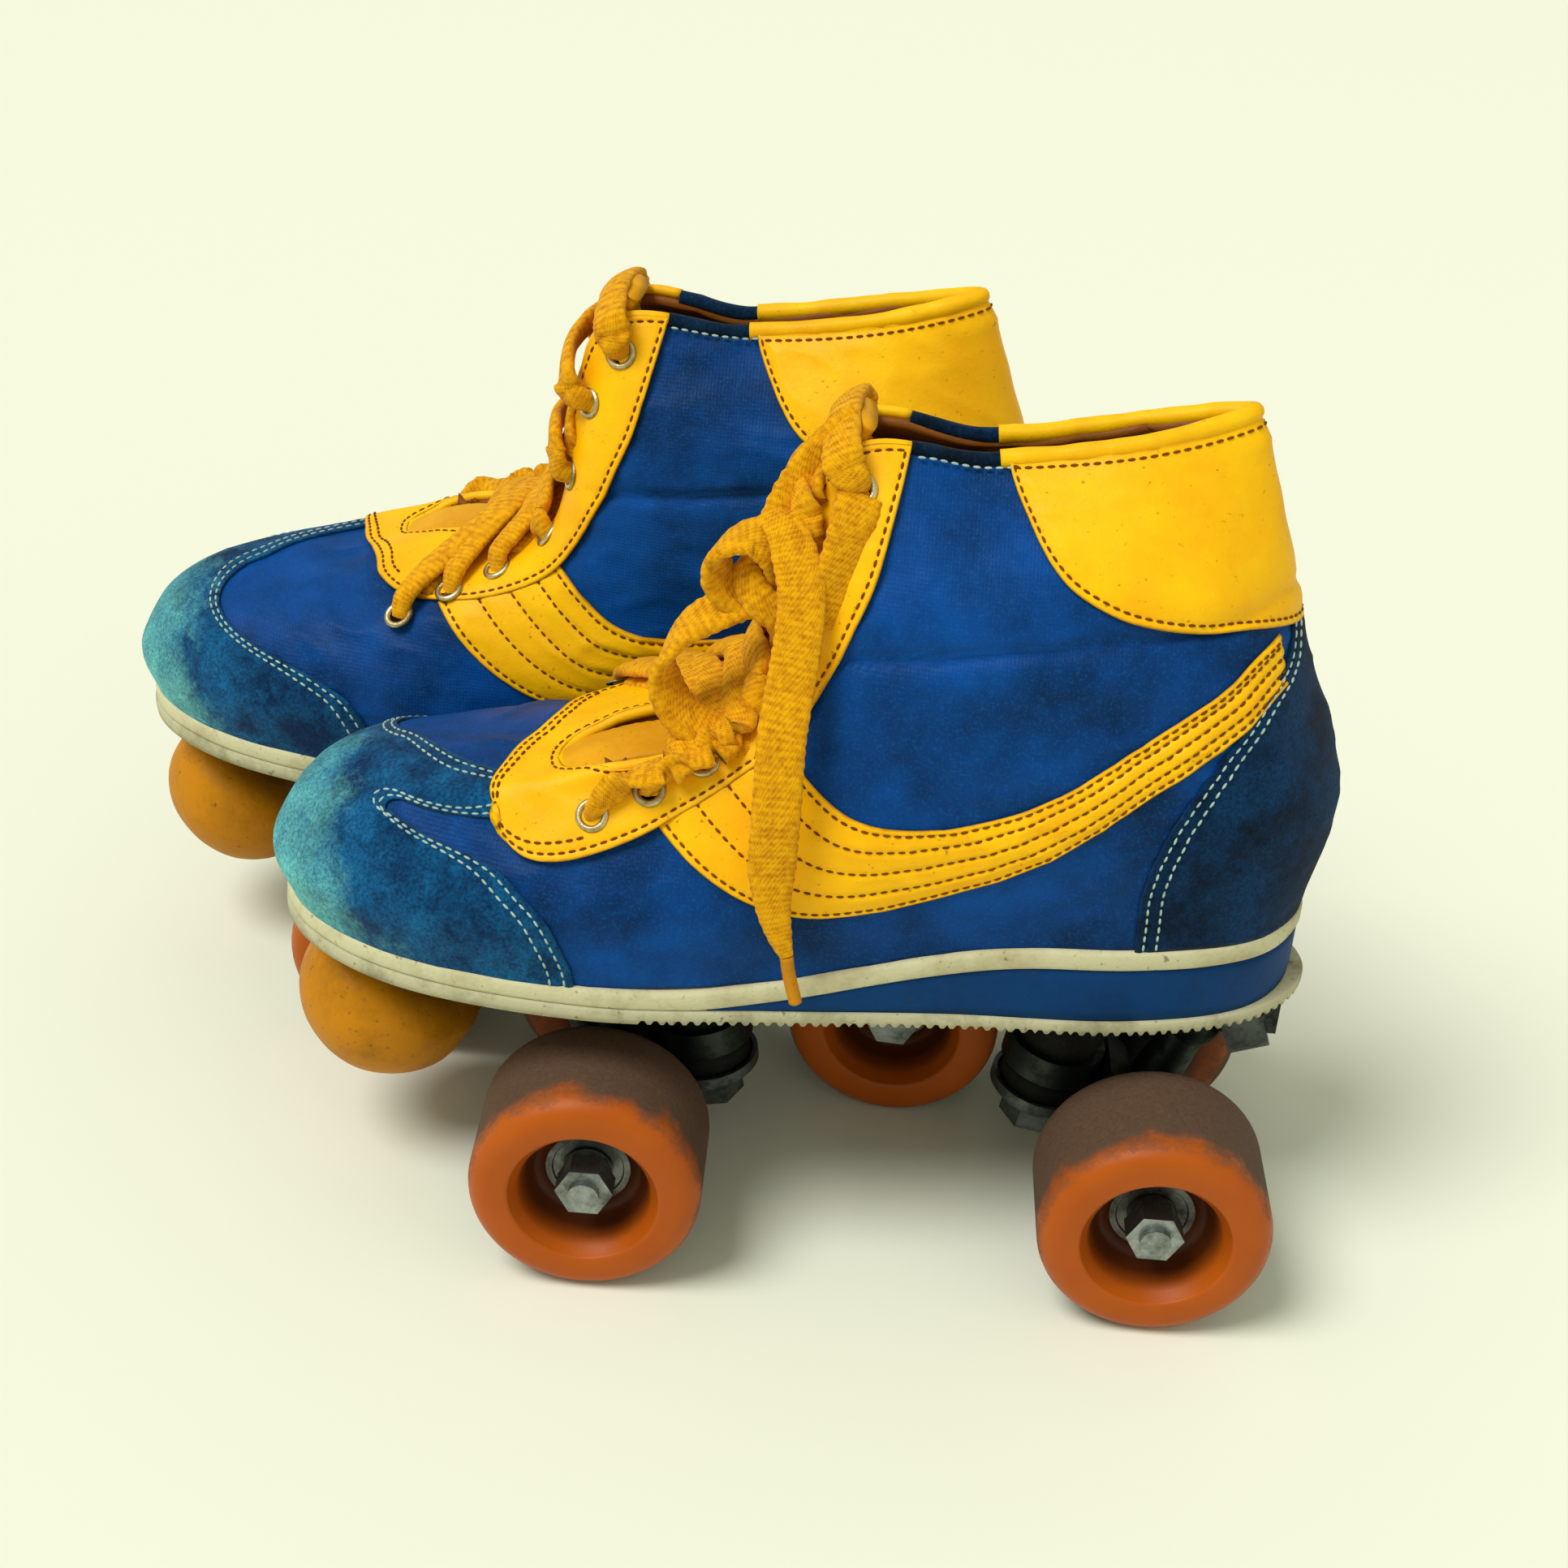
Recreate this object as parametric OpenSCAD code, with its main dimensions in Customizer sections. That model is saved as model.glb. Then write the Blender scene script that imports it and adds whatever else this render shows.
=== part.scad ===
// Pair of quad roller skates: padded sneaker boots on metal plates, each with two
// cushioned steering trucks, four wheels and a bolt-on toe stop.
// Frame: origin on the floor under the middle of the left skate, +X to its heel,
// +Y to its inner side, +Z up. The right skate is the mirror image, set beside it.

/* [Boot] */
// Length of the upper along the sole, toe to heel
boot_length = 263; // [240:1:290]
// Width of the upper across the ball of the foot
boot_width = 92; // [84:1:104]
// Height of the collar's back above the welt line at the toe
collar_height = 144; // [124:1:164]
// Thickness of the padded upper
upper_t = 3.5; // [2.5:0.5:4.5]
// Thickness of the insole with its board
insole_t = 5; // [3:0.5:7]
// Thickness of the tongue
tongue_t = 4; // [2.5:0.5:5]

/* [Sole] */
// Thickness of the outsole
outsole_t = 4; // [3:0.5:7]
// Height of the pale welt strip at the toe
welt_h = 5; // [3:0.5:8]
// How much higher the heel stands than the toe
heel_rise = 16; // [8:1:20]
// How far the sole stands out past the upper
sole_lip = 1.4; // [0.5:0.1:3]

/* [Plate and trucks] */
// Distance between the front and rear axles
wheelbase = 146; // [130:1:160]
// Height from the axles up to the outsole
truck_h = 45; // [42:1:54]
// Thickness of the plate
plate_t = 4; // [3:0.5:5]
// Lean of the kingpins from upright, in degrees
kingpin_lean = 10; // [5:1:14]
// Diameter of the kingpins
kingpin_d = 9; // [7:0.5:10]
// Diameter of the rubber cushions
cushion_d = 24; // [20:1:26]
// Diameter of the axles
axle_d = 8; // [6:0.5:8]
// Diameter of the pivot pins on the hangers
pivot_d = 10; // [8:0.5:11]

/* [Wheels] */
// Diameter of the wheels
wheel_d = 60; // [54:1:64]
// Width of the wheels
wheel_w = 38; // [32:1:42]
// Distance across the pair of wheels, outer face to outer face
track = 126; // [118:1:140]
// Diameter of the hollow in the outer face
hollow_d = 36; // [30:1:40]
// Outside diameter of the bearings
bearing_d = 22; // [19:1:24]
// Width of the bearings
bearing_w = 7; // [5:0.5:8]

/* [Toe stop] */
// Diameter of the toe stop
stop_d = 49; // [40:1:54]
// Forward lean of the toe stop's stem from upright, in degrees
stop_lean = 32; // [20:1:40]
// Diameter of the stem
stem_d = 10; // [8:0.5:12]

/* [Laces] */
// Width of the flat lace
lace_w = 9; // [6:0.5:11]
// Thickness of the flat lace
lace_t = 1.8; // [1.2:0.1:2.4]
// Width of the loose lace end
tail_w = 12; // [9:0.5:14]

/* [Pair] */
// Gap between the left boot's widest place and the middle of the right skate
pair_gap = 44; // [42:1:84]
// Least gap between the inner wheels of the two skates, which stand between each other
wheel_gap = 6.4; // [6:0.1:9]
// Turn of the right skate, toe away from the left one, in degrees
pair_turn = 4.8; // [2:0.1:6]

/* [Clearances] */
// Radial play of an axle in its bearing and of a pivot pin in its cup
run_gap = 0.05; // [0.02:0.01:0.1]
// Radial play of a bolt or a pressed-in piece
fit_gap = 0.03; // [0.01:0.01:0.1]
// Side play between a wheel and what holds it on its axle
side_gap = 0.3; // [0.2:0.1:0.6]
// Gap between the insole and the upper's wall
insole_gap = 2; // [1:0.5:4]

/* [Hidden] */
$fn = 48;

// Where the right skate stands: behind the left one, and forward by a wheel and a gap
wheel_mid = (track - wheel_w) / 2;
pair_y = boot_width / 2 + pair_gap;
pair_x = wheel_d + wheel_gap - wheel_mid * sin(pair_turn) + wheelbase / 2 * (1 - cos(pair_turn));

front = -1;
rear = 1;
outer = -1;
inner = 1;

// Heights
axle_z = wheel_d / 2;
sole_z = axle_z + truck_h;
outsole_top = sole_z + outsole_t;
toe_z = outsole_top + welt_h;
plate_z = sole_z - plate_t;

// Wheel and axle stations, measured outwards from the middle of the truck
wheel_in = track / 2 - wheel_w;
seat_depth = 2;
bearing_gap = 9;
inner_bearing = wheel_in + seat_depth;
outer_bearing = inner_bearing + bearing_w + bearing_gap;
hub_end = inner_bearing - side_gap;
washer_t = 2.6;
washer_y = outer_bearing + bearing_w + side_gap;
nut_h = 7;
nut_af = 13;
nut_y = washer_y + washer_t + 0.1;
axle_end = nut_y + nut_h + 1.8;

// Truck stations, measured outwards from the middle of the skate
axle_x = wheelbase / 2;
ring_back = 25;
ring_rise = 14;
pivot_out = 19;
pivot_up = 30;
ring_x = axle_x - ring_back;
ring_z = axle_z + ring_rise;
pivot_x = axle_x + pivot_out;
pivot_z = axle_z + pivot_up;
pivot_rise = atan2(pivot_z - ring_z, pivot_x - ring_x);
ring_t = 8;
ring_d = cushion_d + 3;
top_cushion_t = 10;
low_cushion_t = 9;
cup_t = 2.4;
cup_d = cushion_d + 4;
kingpin_nut_h = 8;

// Toe stop
stop_ahead = 61;
stop_rise = 16;
stop_x = -(axle_x + stop_ahead);
stop_z = axle_z + stop_rise;
stop_top = stop_d * 0.28;
stop_low = stop_d * 0.45;
stem_nut_h = 4;

// Half outlines of the boot, toe to heel, as [along, out, up]: the welt line, the
// widest line, the instep line and the edge of the throat and collar
welt_key = [[-158, 0], [-148, 22], [-120, 39], [-75, 46], [-30, 42], [15, 37], [60, 34], [92, 23],
  [105, 0]];
wide_key = [[-161, 0, 15], [-151, 23, 14], [-122, 40, 16], [-76, 46, 22], [-30, 43, 30],
  [4, 39, 48], [50, 37, 58], [90, 26, 58], [109, 0, 51]];
instep_key = [[-141, 0, 37], [-132, 20, 35], [-108, 30, 36], [-70, 34, 44], [-36, 30, 60],
  [-9, 31, 95], [34, 29, 103], [70, 23, 103], [92, 0, 95]];
rim_key = [[-86, 0, 47], [-83, 8, 48], [-72, 13, 53], [-52, 14, 59], [-33, 14, 73],
  [-23, 12, 128], [14, 8, 130], [50, 8, 137], [75, 0, 144]];
key_length = 263;
key_width = 92;
key_height = 144;
waist_cut = 0.86;
inner_cut = 0.95;
last_key = len(welt_key) - 1;
keys = 2 * last_key;
across = 4;
upward = 4;

kx = boot_length / key_length;
ky = boot_width / key_width;
kz = collar_height / key_height;

function smooth(t) = let (c = min(1, max(0, t))) c * c * (3 - 2 * c);
function welt_top(x) = toe_z + heel_rise * smooth((x / kx + 60) / 105);
function welt_low(x) = max(outsole_top, welt_top(x) - welt_h - 0.5);

// The soft shaft leans to the inner side, from a height above the welt up to the rim
sway = 8;
sway_from = 26;
function sway_at(z) = sway * smooth((z - sway_from) / (key_height - sway_from));

// The throat runs over to the outer side towards the toe
slew = 16;
slew_from = -25;
slew_over = 40;
function slew_at(x) = slew * smooth((slew_from - x) / slew_over);

// A point of a closed outline by its key number: the outer half first, then the inner
function half_index(k) = let (m = (k + keys) % keys) m <= last_key ? m : keys - m;
function is_inner(k) = let (m = (k + keys) % keys) m > last_key;
function inner_share(x, low) = low && x > -60 && x < 40 ? waist_cut : inner_cut;
function welt_point(k) = let (p = welt_key[half_index(k)], in = is_inner(k))
  [p[0] * kx, (in ? inner_share(p[0], true) * p[1] : -p[1]) * ky, welt_top(p[0] * kx)];
function raised_point(key, k, shift) = let (p = key[half_index(k)])
  [p[0] * kx, ((is_inner(k) ? inner_cut * p[1] : -p[1]) + sway_at(p[2]) + shift) * ky, toe_z + p[2] * kz];
function key_point(level, k) = level == 0 ? welt_point(k)
  : level == 1 ? raised_point(wide_key, k, 0)
  : level == 2 ? raised_point(instep_key, k, 0)
  : raised_point(rim_key, k, -slew_at(rim_key[half_index(k)][0]));

function curve(a, b, c, d, t) = (2 * b + (c - a) * t + (2 * a - 5 * b + 4 * c - d) * t * t
  + (3 * b - a - 3 * c + d) * t * t * t) / 2;
function level_point(level, u) = let (k = floor(u), t = u - k)
  curve(key_point(level, k - 1), key_point(level, k), key_point(level, k + 1),
    key_point(level, k + 2), t);
// A point of the upper's outside: u counts keys round the foot, v runs 0 to 3 upwards
function skin(u, v) = let (s = min(2, floor(v)), t = v - s, b = level_point(s, u),
    c = level_point(s + 1, u),
    a = s == 0 ? 2 * b - c : level_point(s - 1, u),
    d = s == 2 ? 2 * c - b : level_point(s + 2, u))
  curve(a, b, c, d, t);
function unit(v) = v / norm(v);
function outward(u, v) = let (e = 0.05, lo = max(0, v - e), hi = min(3, v + e))
  unit(cross(skin(u + e, v) - skin(u - e, v), skin(u, hi) - skin(u, lo)));

// The route of the loose lace end, from the knot down the outer side to its aglet
lace_end_route = [[-38, -12, 201], [-34, -17, 199], [-31, -22, 194], [-29, -27, 187],
  [-29, -32, 178], [-30, -37, 168], [-31, -43, 158], [-31, -47, 147], [-31, -50, 136],
  [-31, -51, 126], [-30, -52, 116], [-28, -52, 108], [-26, -51.5, 102]];
aglet_route = [[-26, -51.5, 101.8], [-25, -51, 96], [-23, -50.5, 88]];
aglet_d = 3.4;

module at_right() {
  translate([-pair_x, pair_y, 0]) rotate([0, 0, -pair_turn]) mirror([0, 1, 0]) children();
}

module at_axle(end) {
  translate([end * axle_x, 0, axle_z]) rotate([-90, 0, 0]) children();
}

module at_kingpin(end) {
  translate([end * ring_x, 0, ring_z]) rotate([0, end * kingpin_lean, 0]) children();
}

module at_pivot(end) {
  translate([end * pivot_x, 0, pivot_z]) rotate([0, end * (90 - pivot_rise), 0]) children();
}

module at_stop() {
  translate([stop_x, 0, stop_z]) rotate([0, stop_lean, 0]) children();
}

// A closed ring of the sole's outline, pushed outwards by a distance
function outline(push) = [for (i = [0:keys * across - 1]) let (u = i / across,
  p = level_point(0, u), g = level_point(0, u + 0.1) - level_point(0, u - 0.1),
  n = unit([-g[1], g[0]])) [p[0] - push * n[0], p[1] - push * n[1]]];

module sole_layer(push, lower, upper) {
  intersection() {
    translate([0, 0, sole_z]) linear_extrude(100) polygon(outline(push));
    rotate([90, 0, 0]) linear_extrude(200, center = true) polygon(concat(lower, upper));
  }
}

sole_steps = 24;
sole_ends = [-key_length * kx * 0.64, key_length * kx * 0.44];
function sole_x(i) = sole_ends[0] + (sole_ends[1] - sole_ends[0]) * i / sole_steps;
function top_line(lift) = [for (i = [sole_steps:-1:0]) [sole_x(i), welt_top(sole_x(i)) + lift]];
function low_line(lift) = [for (i = [0:sole_steps]) [sole_x(i), welt_low(sole_x(i)) + lift]];

// The upper is two quarters that meet along the middle of the toe and of the heel. Each is
// outside rows from the welt to the rim, then inside rows back down, closed at both ends
rows = 3 * upward;
last_row = 2 * rows + 1;
half_n = last_key * across;
row_n = half_n + 1;
function wall_point(i, j) = let (u = i / across, v = j / upward, q = skin(u, v) - upper_t * outward(u, v))
  j == 0 ? [q[0], q[1], welt_top(q[0])] : q;
function quarter_points(start) = concat(
  [for (j = [0:rows]) for (i = [0:half_n]) skin((start + i) / across, j / upward)],
  [for (j = [rows:-1:0]) for (i = [0:half_n]) wall_point(start + i, j)]);
quarter_faces = concat(
  [for (j = [0:last_row]) for (i = [0:half_n - 1])
    let (a = j * row_n, b = (j + 1) % (last_row + 1) * row_n)
    each [[a + i, b + i, b + i + 1], [a + i, b + i + 1, a + i + 1]]],
  [for (j = [0:rows - 1]) each end_faces(j * row_n, (j + 1) * row_n, (last_row - j) * row_n,
    (last_row - 1 - j) * row_n)]);
// Two triangles close the wall at each end between one pair of rows
function end_faces(a, b, c, d) = [[b, a, c], [b, c, d],
  [a + half_n, b + half_n, c + half_n], [b + half_n, d + half_n, c + half_n]];

module quarter(side) {
  color("royalblue") polyhedron(quarter_points(side == outer ? 0 : half_n), quarter_faces, convexity = 8);
}

// A flat or round strap swept along a route: wide is the direction of its width
function ring_at(p, along, wide, w, t, n) = let (a = unit(along), b = unit(wide - (wide * a) * a),
  c = cross(a, b)) [for (k = [0:n - 1]) p + b * (w / 2 * cos(k * 360 / n))
    + c * (t / 2 * sin(k * 360 / n))];
module strap(route, wide, w, t, n = 8) {
  last = len(route) - 1;
  points = [for (i = [0:last]) each ring_at(route[i],
    route[min(last, i + 1)] - route[max(0, i - 1)], wide, w, t, n)];
  faces = concat([for (i = [0:last - 1]) for (k = [0:n - 1]) let (m = (k + 1) % n)
    [i * n + k, (i + 1) * n + k, (i + 1) * n + m, i * n + m]],
    [[for (k = [0:n - 1]) k], [for (k = [n - 1:-1:0]) last * n + k]]);
  polyhedron(points, faces, convexity = 6);
}
function smooth_route(r, m) = let (e = len(r) - 1) concat([for (i = [0:e - 1]) for (j = [0:m - 1])
  curve(r[max(0, i - 1)], r[i], r[i + 1], r[min(e, i + 2)], j / m)], [r[e]]);

// The tongue lies between the throat's edges, under the lacing
throat_keys = [1.2, 1.7, 2.3, 3, 3.5, 4, 4.3, 4.7, 5];
function throat_middle(u, sink) = let (a = skin(u, 3), b = skin(keys - u, 3),
  along = skin(u + 0.1, 3) - skin(u - 0.1, 3), up = unit(cross([0, -1, 0], [along[0], 0, along[2]])))
  [(a[0] + b[0]) / 2, (a[1] + b[1]) / 2, (a[2] + b[2]) / 2] - sink * up;
tongue_gap = 0.5;
tongue_sink = upper_t + tongue_t / 2 + tongue_gap;
tongue_route = concat([for (u = throat_keys) throat_middle(u, tongue_sink)],
  [throat_middle(5, tongue_sink) + [-1, 0, 9]]);
tongue_w = 17 * ky;

module tongue() {
  color("gold") strap(tongue_route, [0, 1, 0], tongue_w, tongue_t, 10);
}

module insole() {
  color("saddlebrown") sole_layer(-(upper_t + insole_gap), [for (i = [0:sole_steps])
    [sole_x(i), welt_top(sole_x(i))]], top_line(insole_t));
}

module welt() {
  color("cornsilk") sole_layer(sole_lip, low_line(0), top_line(0));
}

// The blue wedge fills the space between the outsole and the welt, from the waist back
wedge_tip = 0.3;
module heel_wedge() {
  raised = [for (i = [sole_steps:-1:0]) if (welt_low(sole_x(i)) > outsole_top + wedge_tip)
    [sole_x(i), welt_low(sole_x(i))]];
  color("mediumblue") sole_layer(sole_lip - 0.4, [[raised[len(raised) - 1][0] - 4, outsole_top],
    [sole_ends[1], outsole_top]], raised);
}

key_wheelbase = 146;
plate_scale = wheelbase / key_wheelbase;
bolt_spots = [[-100, 15], [-54, 22], [22, 11], [66, 17]];
bolt_d = 5;
bolt_grip = 3.5;
bolt_head_h = 2.4;
bolt_reach = 5;

module at_bolts() {
  for (s = bolt_spots) for (side = [outer, inner])
    translate([s[0] * plate_scale, side * s[1], 0]) children();
}

module outsole() {
  color("cornsilk") difference() {
    translate([0, 0, sole_z]) linear_extrude(outsole_t) polygon(outline(sole_lip + 0.4));
    translate([0, 0, sole_z - 1]) at_bolts() cylinder(h = bolt_grip + 1.1, d = bolt_d + 2 * fit_gap);
  }
}

module plate_bolts() {
  color("silver") at_bolts() {
    translate([0, 0, plate_z]) cylinder(h = plate_t + bolt_grip, d = bolt_d);
    translate([0, 0, plate_z - bolt_head_h]) cylinder(h = bolt_head_h, d = bolt_d * 1.8);
  }
}

// Half outline of the plate, front to back, as [along, out] at the key wheelbase
plate_half = [[-126, 9], [-116, 17], [-104, 24], [-60, 30], [-30, 19], [30, 17], [56, 22], [98, 22]];
plate_outline = concat([for (p = plate_half) [p[0] * plate_scale, -p[1]]],
  [for (i = [len(plate_half) - 1:-1:0]) [plate_half[i][0] * plate_scale, plate_half[i][1]]]);
cup_wall = 3;
cup_depth = 9;
cup_lip = 1;
cup_hole = pivot_d + 2 * cup_wall;
housing_d = cup_hole + 6;
rib_h = 7;
rib_w = 8;
rib_end = 12;
boss_slim = 2;
boss_flare = 12;
pad_x = 14;
pad_y = 16;
pad_out = 6;
stem_boss_d = stem_d + 9;
through = 60;

module plate() {
  color("gray") difference() {
    intersection() {
      union() {
        translate([0, 0, plate_z]) linear_extrude(plate_t) polygon(plate_outline);
        translate([rib_end - ring_x, -rib_w / 2, plate_z - rib_h])
          cube([2 * (ring_x - rib_end), rib_w, rib_h + 1]);
        for (end = [front, rear]) {
          at_kingpin(end) translate([0, 0, ring_t / 2 + top_cushion_t])
            cylinder(h = through / 2, d1 = cushion_d - boss_slim, d2 = cushion_d + boss_flare);
          at_pivot(end) translate([0, 0, -cup_lip]) cylinder(h = cup_depth + 2 * cup_lip, d = housing_d);
          translate([end * (pivot_x + pad_out) - pad_x / 2, -pad_y / 2, pivot_z])
            cube([pad_x, pad_y, plate_z - pivot_z + 1]);
        }
        at_stop() translate([0, 0, stop_top + stem_nut_h]) cylinder(h = through / 2, d = stem_boss_d);
      }
      translate([-boot_length, -boot_width, 0]) cube([2 * boot_length, 2 * boot_width, sole_z]);
    }
    for (end = [front, rear]) {
      at_kingpin(end) cylinder(h = through, d = kingpin_d + 2 * fit_gap);
      at_pivot(end) translate([0, 0, -2 * cup_lip])
        cylinder(h = cup_depth + 2 * cup_lip, d = cup_hole + 2 * fit_gap);
    }
    at_stop() cylinder(h = through, d = stem_d + 2 * fit_gap);
    translate([0, 0, plate_z - bolt_reach]) at_bolts()
      cylinder(h = plate_t + 2 * bolt_reach, d = bolt_d + 2 * fit_gap);
  }
}

module pivot_cups() {
  color("ivory") for (end = [front, rear]) at_pivot(end) difference() {
    translate([0, 0, -cup_lip]) cylinder(h = cup_depth, d = cup_hole);
    translate([0, 0, -2 * cup_lip]) cylinder(h = cup_depth, d = pivot_d + 2 * run_gap);
  }
}

module hex_nut(af, h, hole) {
  difference() {
    cylinder(h = h, d = af / cos(30), $fn = 6);
    translate([0, 0, -1]) cylinder(h = h + 2, d = hole);
  }
}

kingpin_tail = 1.5;
kingpin_nut_af = 15;
nut_gap = 0.1;
cup_edge = 2;
cup_skirt = 5;
cup_sheet = 1.2;
kingpin_low = ring_t / 2 + low_cushion_t + cup_t + kingpin_nut_h + kingpin_tail;
kingpin_high = (sole_z - 1 - ring_z) / cos(kingpin_lean) - kingpin_d / 2 * tan(kingpin_lean);

module kingpins() {
  color("dimgray") for (end = [front, rear]) at_kingpin(end) {
    translate([0, 0, -kingpin_low]) cylinder(h = kingpin_low + kingpin_high, d = kingpin_d);
    translate([0, 0, -ring_t / 2 - low_cushion_t - cup_t]) rotate_extrude() polygon([
      [kingpin_d / 2 + fit_gap, 0], [cup_d / 2 - cup_edge, 0], [cup_d / 2, cup_edge],
      [cup_d / 2, cup_skirt], [cup_d / 2 - cup_sheet, cup_skirt], [cup_d / 2 - cup_sheet, cup_t],
      [kingpin_d / 2 + fit_gap, cup_t]]);
    translate([0, 0, kingpin_tail - kingpin_low])
      hex_nut(kingpin_nut_af, kingpin_nut_h - nut_gap, kingpin_d + 2 * fit_gap);
  }
}

module cushion(z, h) {
  belly = 1;
  translate([0, 0, z]) rotate_extrude() polygon([[kingpin_d / 2 + 0.2, 0],
    [cushion_d / 2 - belly, 0], [cushion_d / 2, h * 0.3], [cushion_d / 2, h * 0.7],
    [cushion_d / 2 - belly, h], [kingpin_d / 2 + 0.2, h]]);
}

module cushions(end) {
  color("black") at_kingpin(end) {
    cushion(ring_t / 2, top_cushion_t);
    cushion(-ring_t / 2 - low_cushion_t, low_cushion_t);
  }
}

barrel_d = 19;
arm_t = 8;
arm_w = ring_d * 0.76;
arm_sink = 0.9;
pin_root = 8;
pin_short = 2.6;
ring_play = 5;

module hanger(end) {
  reach = ring_d / 2 - arm_sink;
  from = [end * (ring_x + reach * cos(kingpin_lean)), ring_z - reach * sin(kingpin_lean)];
  to = [end * axle_x, axle_z];
  slope = atan2(to[1] - from[1], end * (to[0] - from[0]));
  root = [end * (pivot_x - pin_root * cos(pivot_rise)), pivot_z - pin_root * sin(pivot_rise)];
  climb = atan2(root[1] - to[1], end * (root[0] - to[0]));
  color("dimgray") difference() {
    union() {
      at_axle(end) cylinder(h = 2 * wheel_in - 0.4, d = barrel_d, center = true);
      at_axle(end) cylinder(h = 2 * hub_end, d = axle_d + 4, center = true);
      at_kingpin(end) cylinder(h = ring_t, d = ring_d, center = true);
      translate([from[0], 0, from[1]]) rotate([0, -end * slope, 0])
        translate([end > 0 ? 0 : -norm(to - from), -arm_w / 2, -arm_t / 2])
          cube([norm(to - from), arm_w, arm_t]);
      translate([to[0], 0, to[1]]) rotate([0, end * (90 - climb), 0])
        cylinder(h = norm(root - to), d1 = barrel_d - 5, d2 = pivot_d + 1);
      translate([root[0], 0, root[1]]) sphere(d = pivot_d + 5);
      at_pivot(end) translate([0, 0, -pin_root])
        cylinder(h = pin_root + cup_depth - pin_short, d = pivot_d);
    }
    at_axle(end) cylinder(h = track, d = axle_d + 2 * fit_gap, center = true);
    at_kingpin(end) cylinder(h = 2 * ring_t, d = kingpin_d + ring_play, center = true);
  }
}

module axle(end) {
  color("silver") at_axle(end) {
    cylinder(h = 2 * axle_end, d = axle_d, center = true);
    for (side = [0, 180]) rotate([side, 0, 0]) {
      translate([0, 0, nut_y]) hex_nut(nut_af, nut_h, axle_d + 2 * fit_gap);
      translate([0, 0, washer_y]) difference() {
        cylinder(h = washer_t, d = nut_af);
        translate([0, 0, -1]) cylinder(h = washer_t + 2, d = axle_d + 2 * fit_gap);
      }
    }
  }
}

// Stands a shape on a wheel's station: up is away from the middle of the truck
module at_wheel(end, side) {
  at_axle(end) mirror([0, 0, side < 0 ? 1 : 0]) translate([0, 0, wheel_in]) children();
}

shoulder = 6;
hub_lip = 2;
function arc(cx, cy, r, from, to, n) = [for (i = [0:n]) let (a = from + (to - from) * i / n)
  [cx + r * cos(a), cy + r * sin(a)]];

module wheel(end, side) {
  r = wheel_d / 2;
  seat = bearing_d / 2 + fit_gap;
  floor_y = outer_bearing + bearing_w - wheel_in;
  color("darkorange") at_wheel(end, side) rotate_extrude($fn = 72) polygon(concat(
    [[seat + 4, 0]],
    arc(r - shoulder, shoulder, shoulder, -90, 0, 5),
    arc(r - shoulder, wheel_w - shoulder, shoulder, 0, 90, 5),
    [[hollow_d / 2 + 1, wheel_w], [hollow_d / 2, wheel_w - 1], [hollow_d / 2 - 3, floor_y + 2],
     [seat + 2, floor_y], [seat, floor_y],
     [seat, outer_bearing - wheel_in], [seat - hub_lip, outer_bearing - wheel_in],
     [seat - hub_lip, seat_depth + bearing_w], [seat, seat_depth + bearing_w],
     [seat, seat_depth], [seat + 3, seat_depth]]));
}

module bearings(end, side) {
  r = bearing_d / 2;
  b = axle_d / 2 + run_gap;
  dip = 0.5;
  color("lightslategray") at_wheel(end, side)
    for (y = [seat_depth, outer_bearing - wheel_in]) translate([0, 0, y + fit_gap])
      rotate_extrude() polygon([[b, 0], [b + 1.6, 0], [b + 1.9, dip], [r - 1.9, dip], [r - 1.6, 0],
        [r, 0], [r, bearing_w - 2 * fit_gap], [r - 1.6, bearing_w - 2 * fit_gap],
        [r - 1.9, bearing_w - dip], [b + 1.9, bearing_w - dip],
        [b + 1.6, bearing_w - 2 * fit_gap], [b, bearing_w - 2 * fit_gap]]);
}

stop_edge = 9;
stem_foot = 3.9;
stem_nut_af = 17;

module toe_stop() {
  r = stop_d / 2;
  color("goldenrod") at_stop() difference() {
    rotate_extrude($fn = 72) polygon(concat([[0, -stop_low]],
      [for (a = [-75:15:0]) [r * cos(a), stop_low * sin(a) * 0.97]],
      [[r, 2]],
      arc(r - stop_edge, stop_top - stop_edge, stop_edge, 15, 90, 5),
      [[0, stop_top]]));
    translate([0, 0, -stem_foot - nut_gap]) cylinder(h = through, d = stem_d + 2 * fit_gap);
  }
}

module toe_stop_stem() {
  lift = (sole_z - 0.5 - stop_z) / cos(stop_lean) - stem_d / 2 * tan(stop_lean);
  color("silver") at_stop() {
    translate([0, 0, -stem_foot]) cylinder(h = lift + stem_foot, d = stem_d);
    translate([0, 0, stop_top + nut_gap / 2])
      hex_nut(stem_nut_af, stem_nut_h - nut_gap, stem_d + 2 * fit_gap);
  }
}

// Eyelets: their places round the foot and up the upper, as [u, v]
eyelet_spots = [[2.85, 2], [3.15, 2.2], [3.5, 2.35], [4, 2.5], [4.4, 2.6], [4.75, 2.7], [5.1, 2.77]];
eyelet_d = 8.5;
eyelet_t = 1;
eyelet_seat = 0.25;

module facing(p, n) {
  translate(p) rotate([0, acos(n[2]), atan2(n[1], n[0])]) children();
}

module eyelets() {
  color("silver") for (e = eyelet_spots) for (u = [e[0], keys - e[0]])
    facing(skin(u, e[1]), outward(u, e[1])) translate([0, 0, eyelet_seat])
      rotate_extrude($fn = 20) polygon([[eyelet_d * 0.3, 0], [eyelet_d / 2, 0],
        [eyelet_d / 2 - 0.6, eyelet_t], [eyelet_d * 0.3, eyelet_t]]);
}

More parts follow.
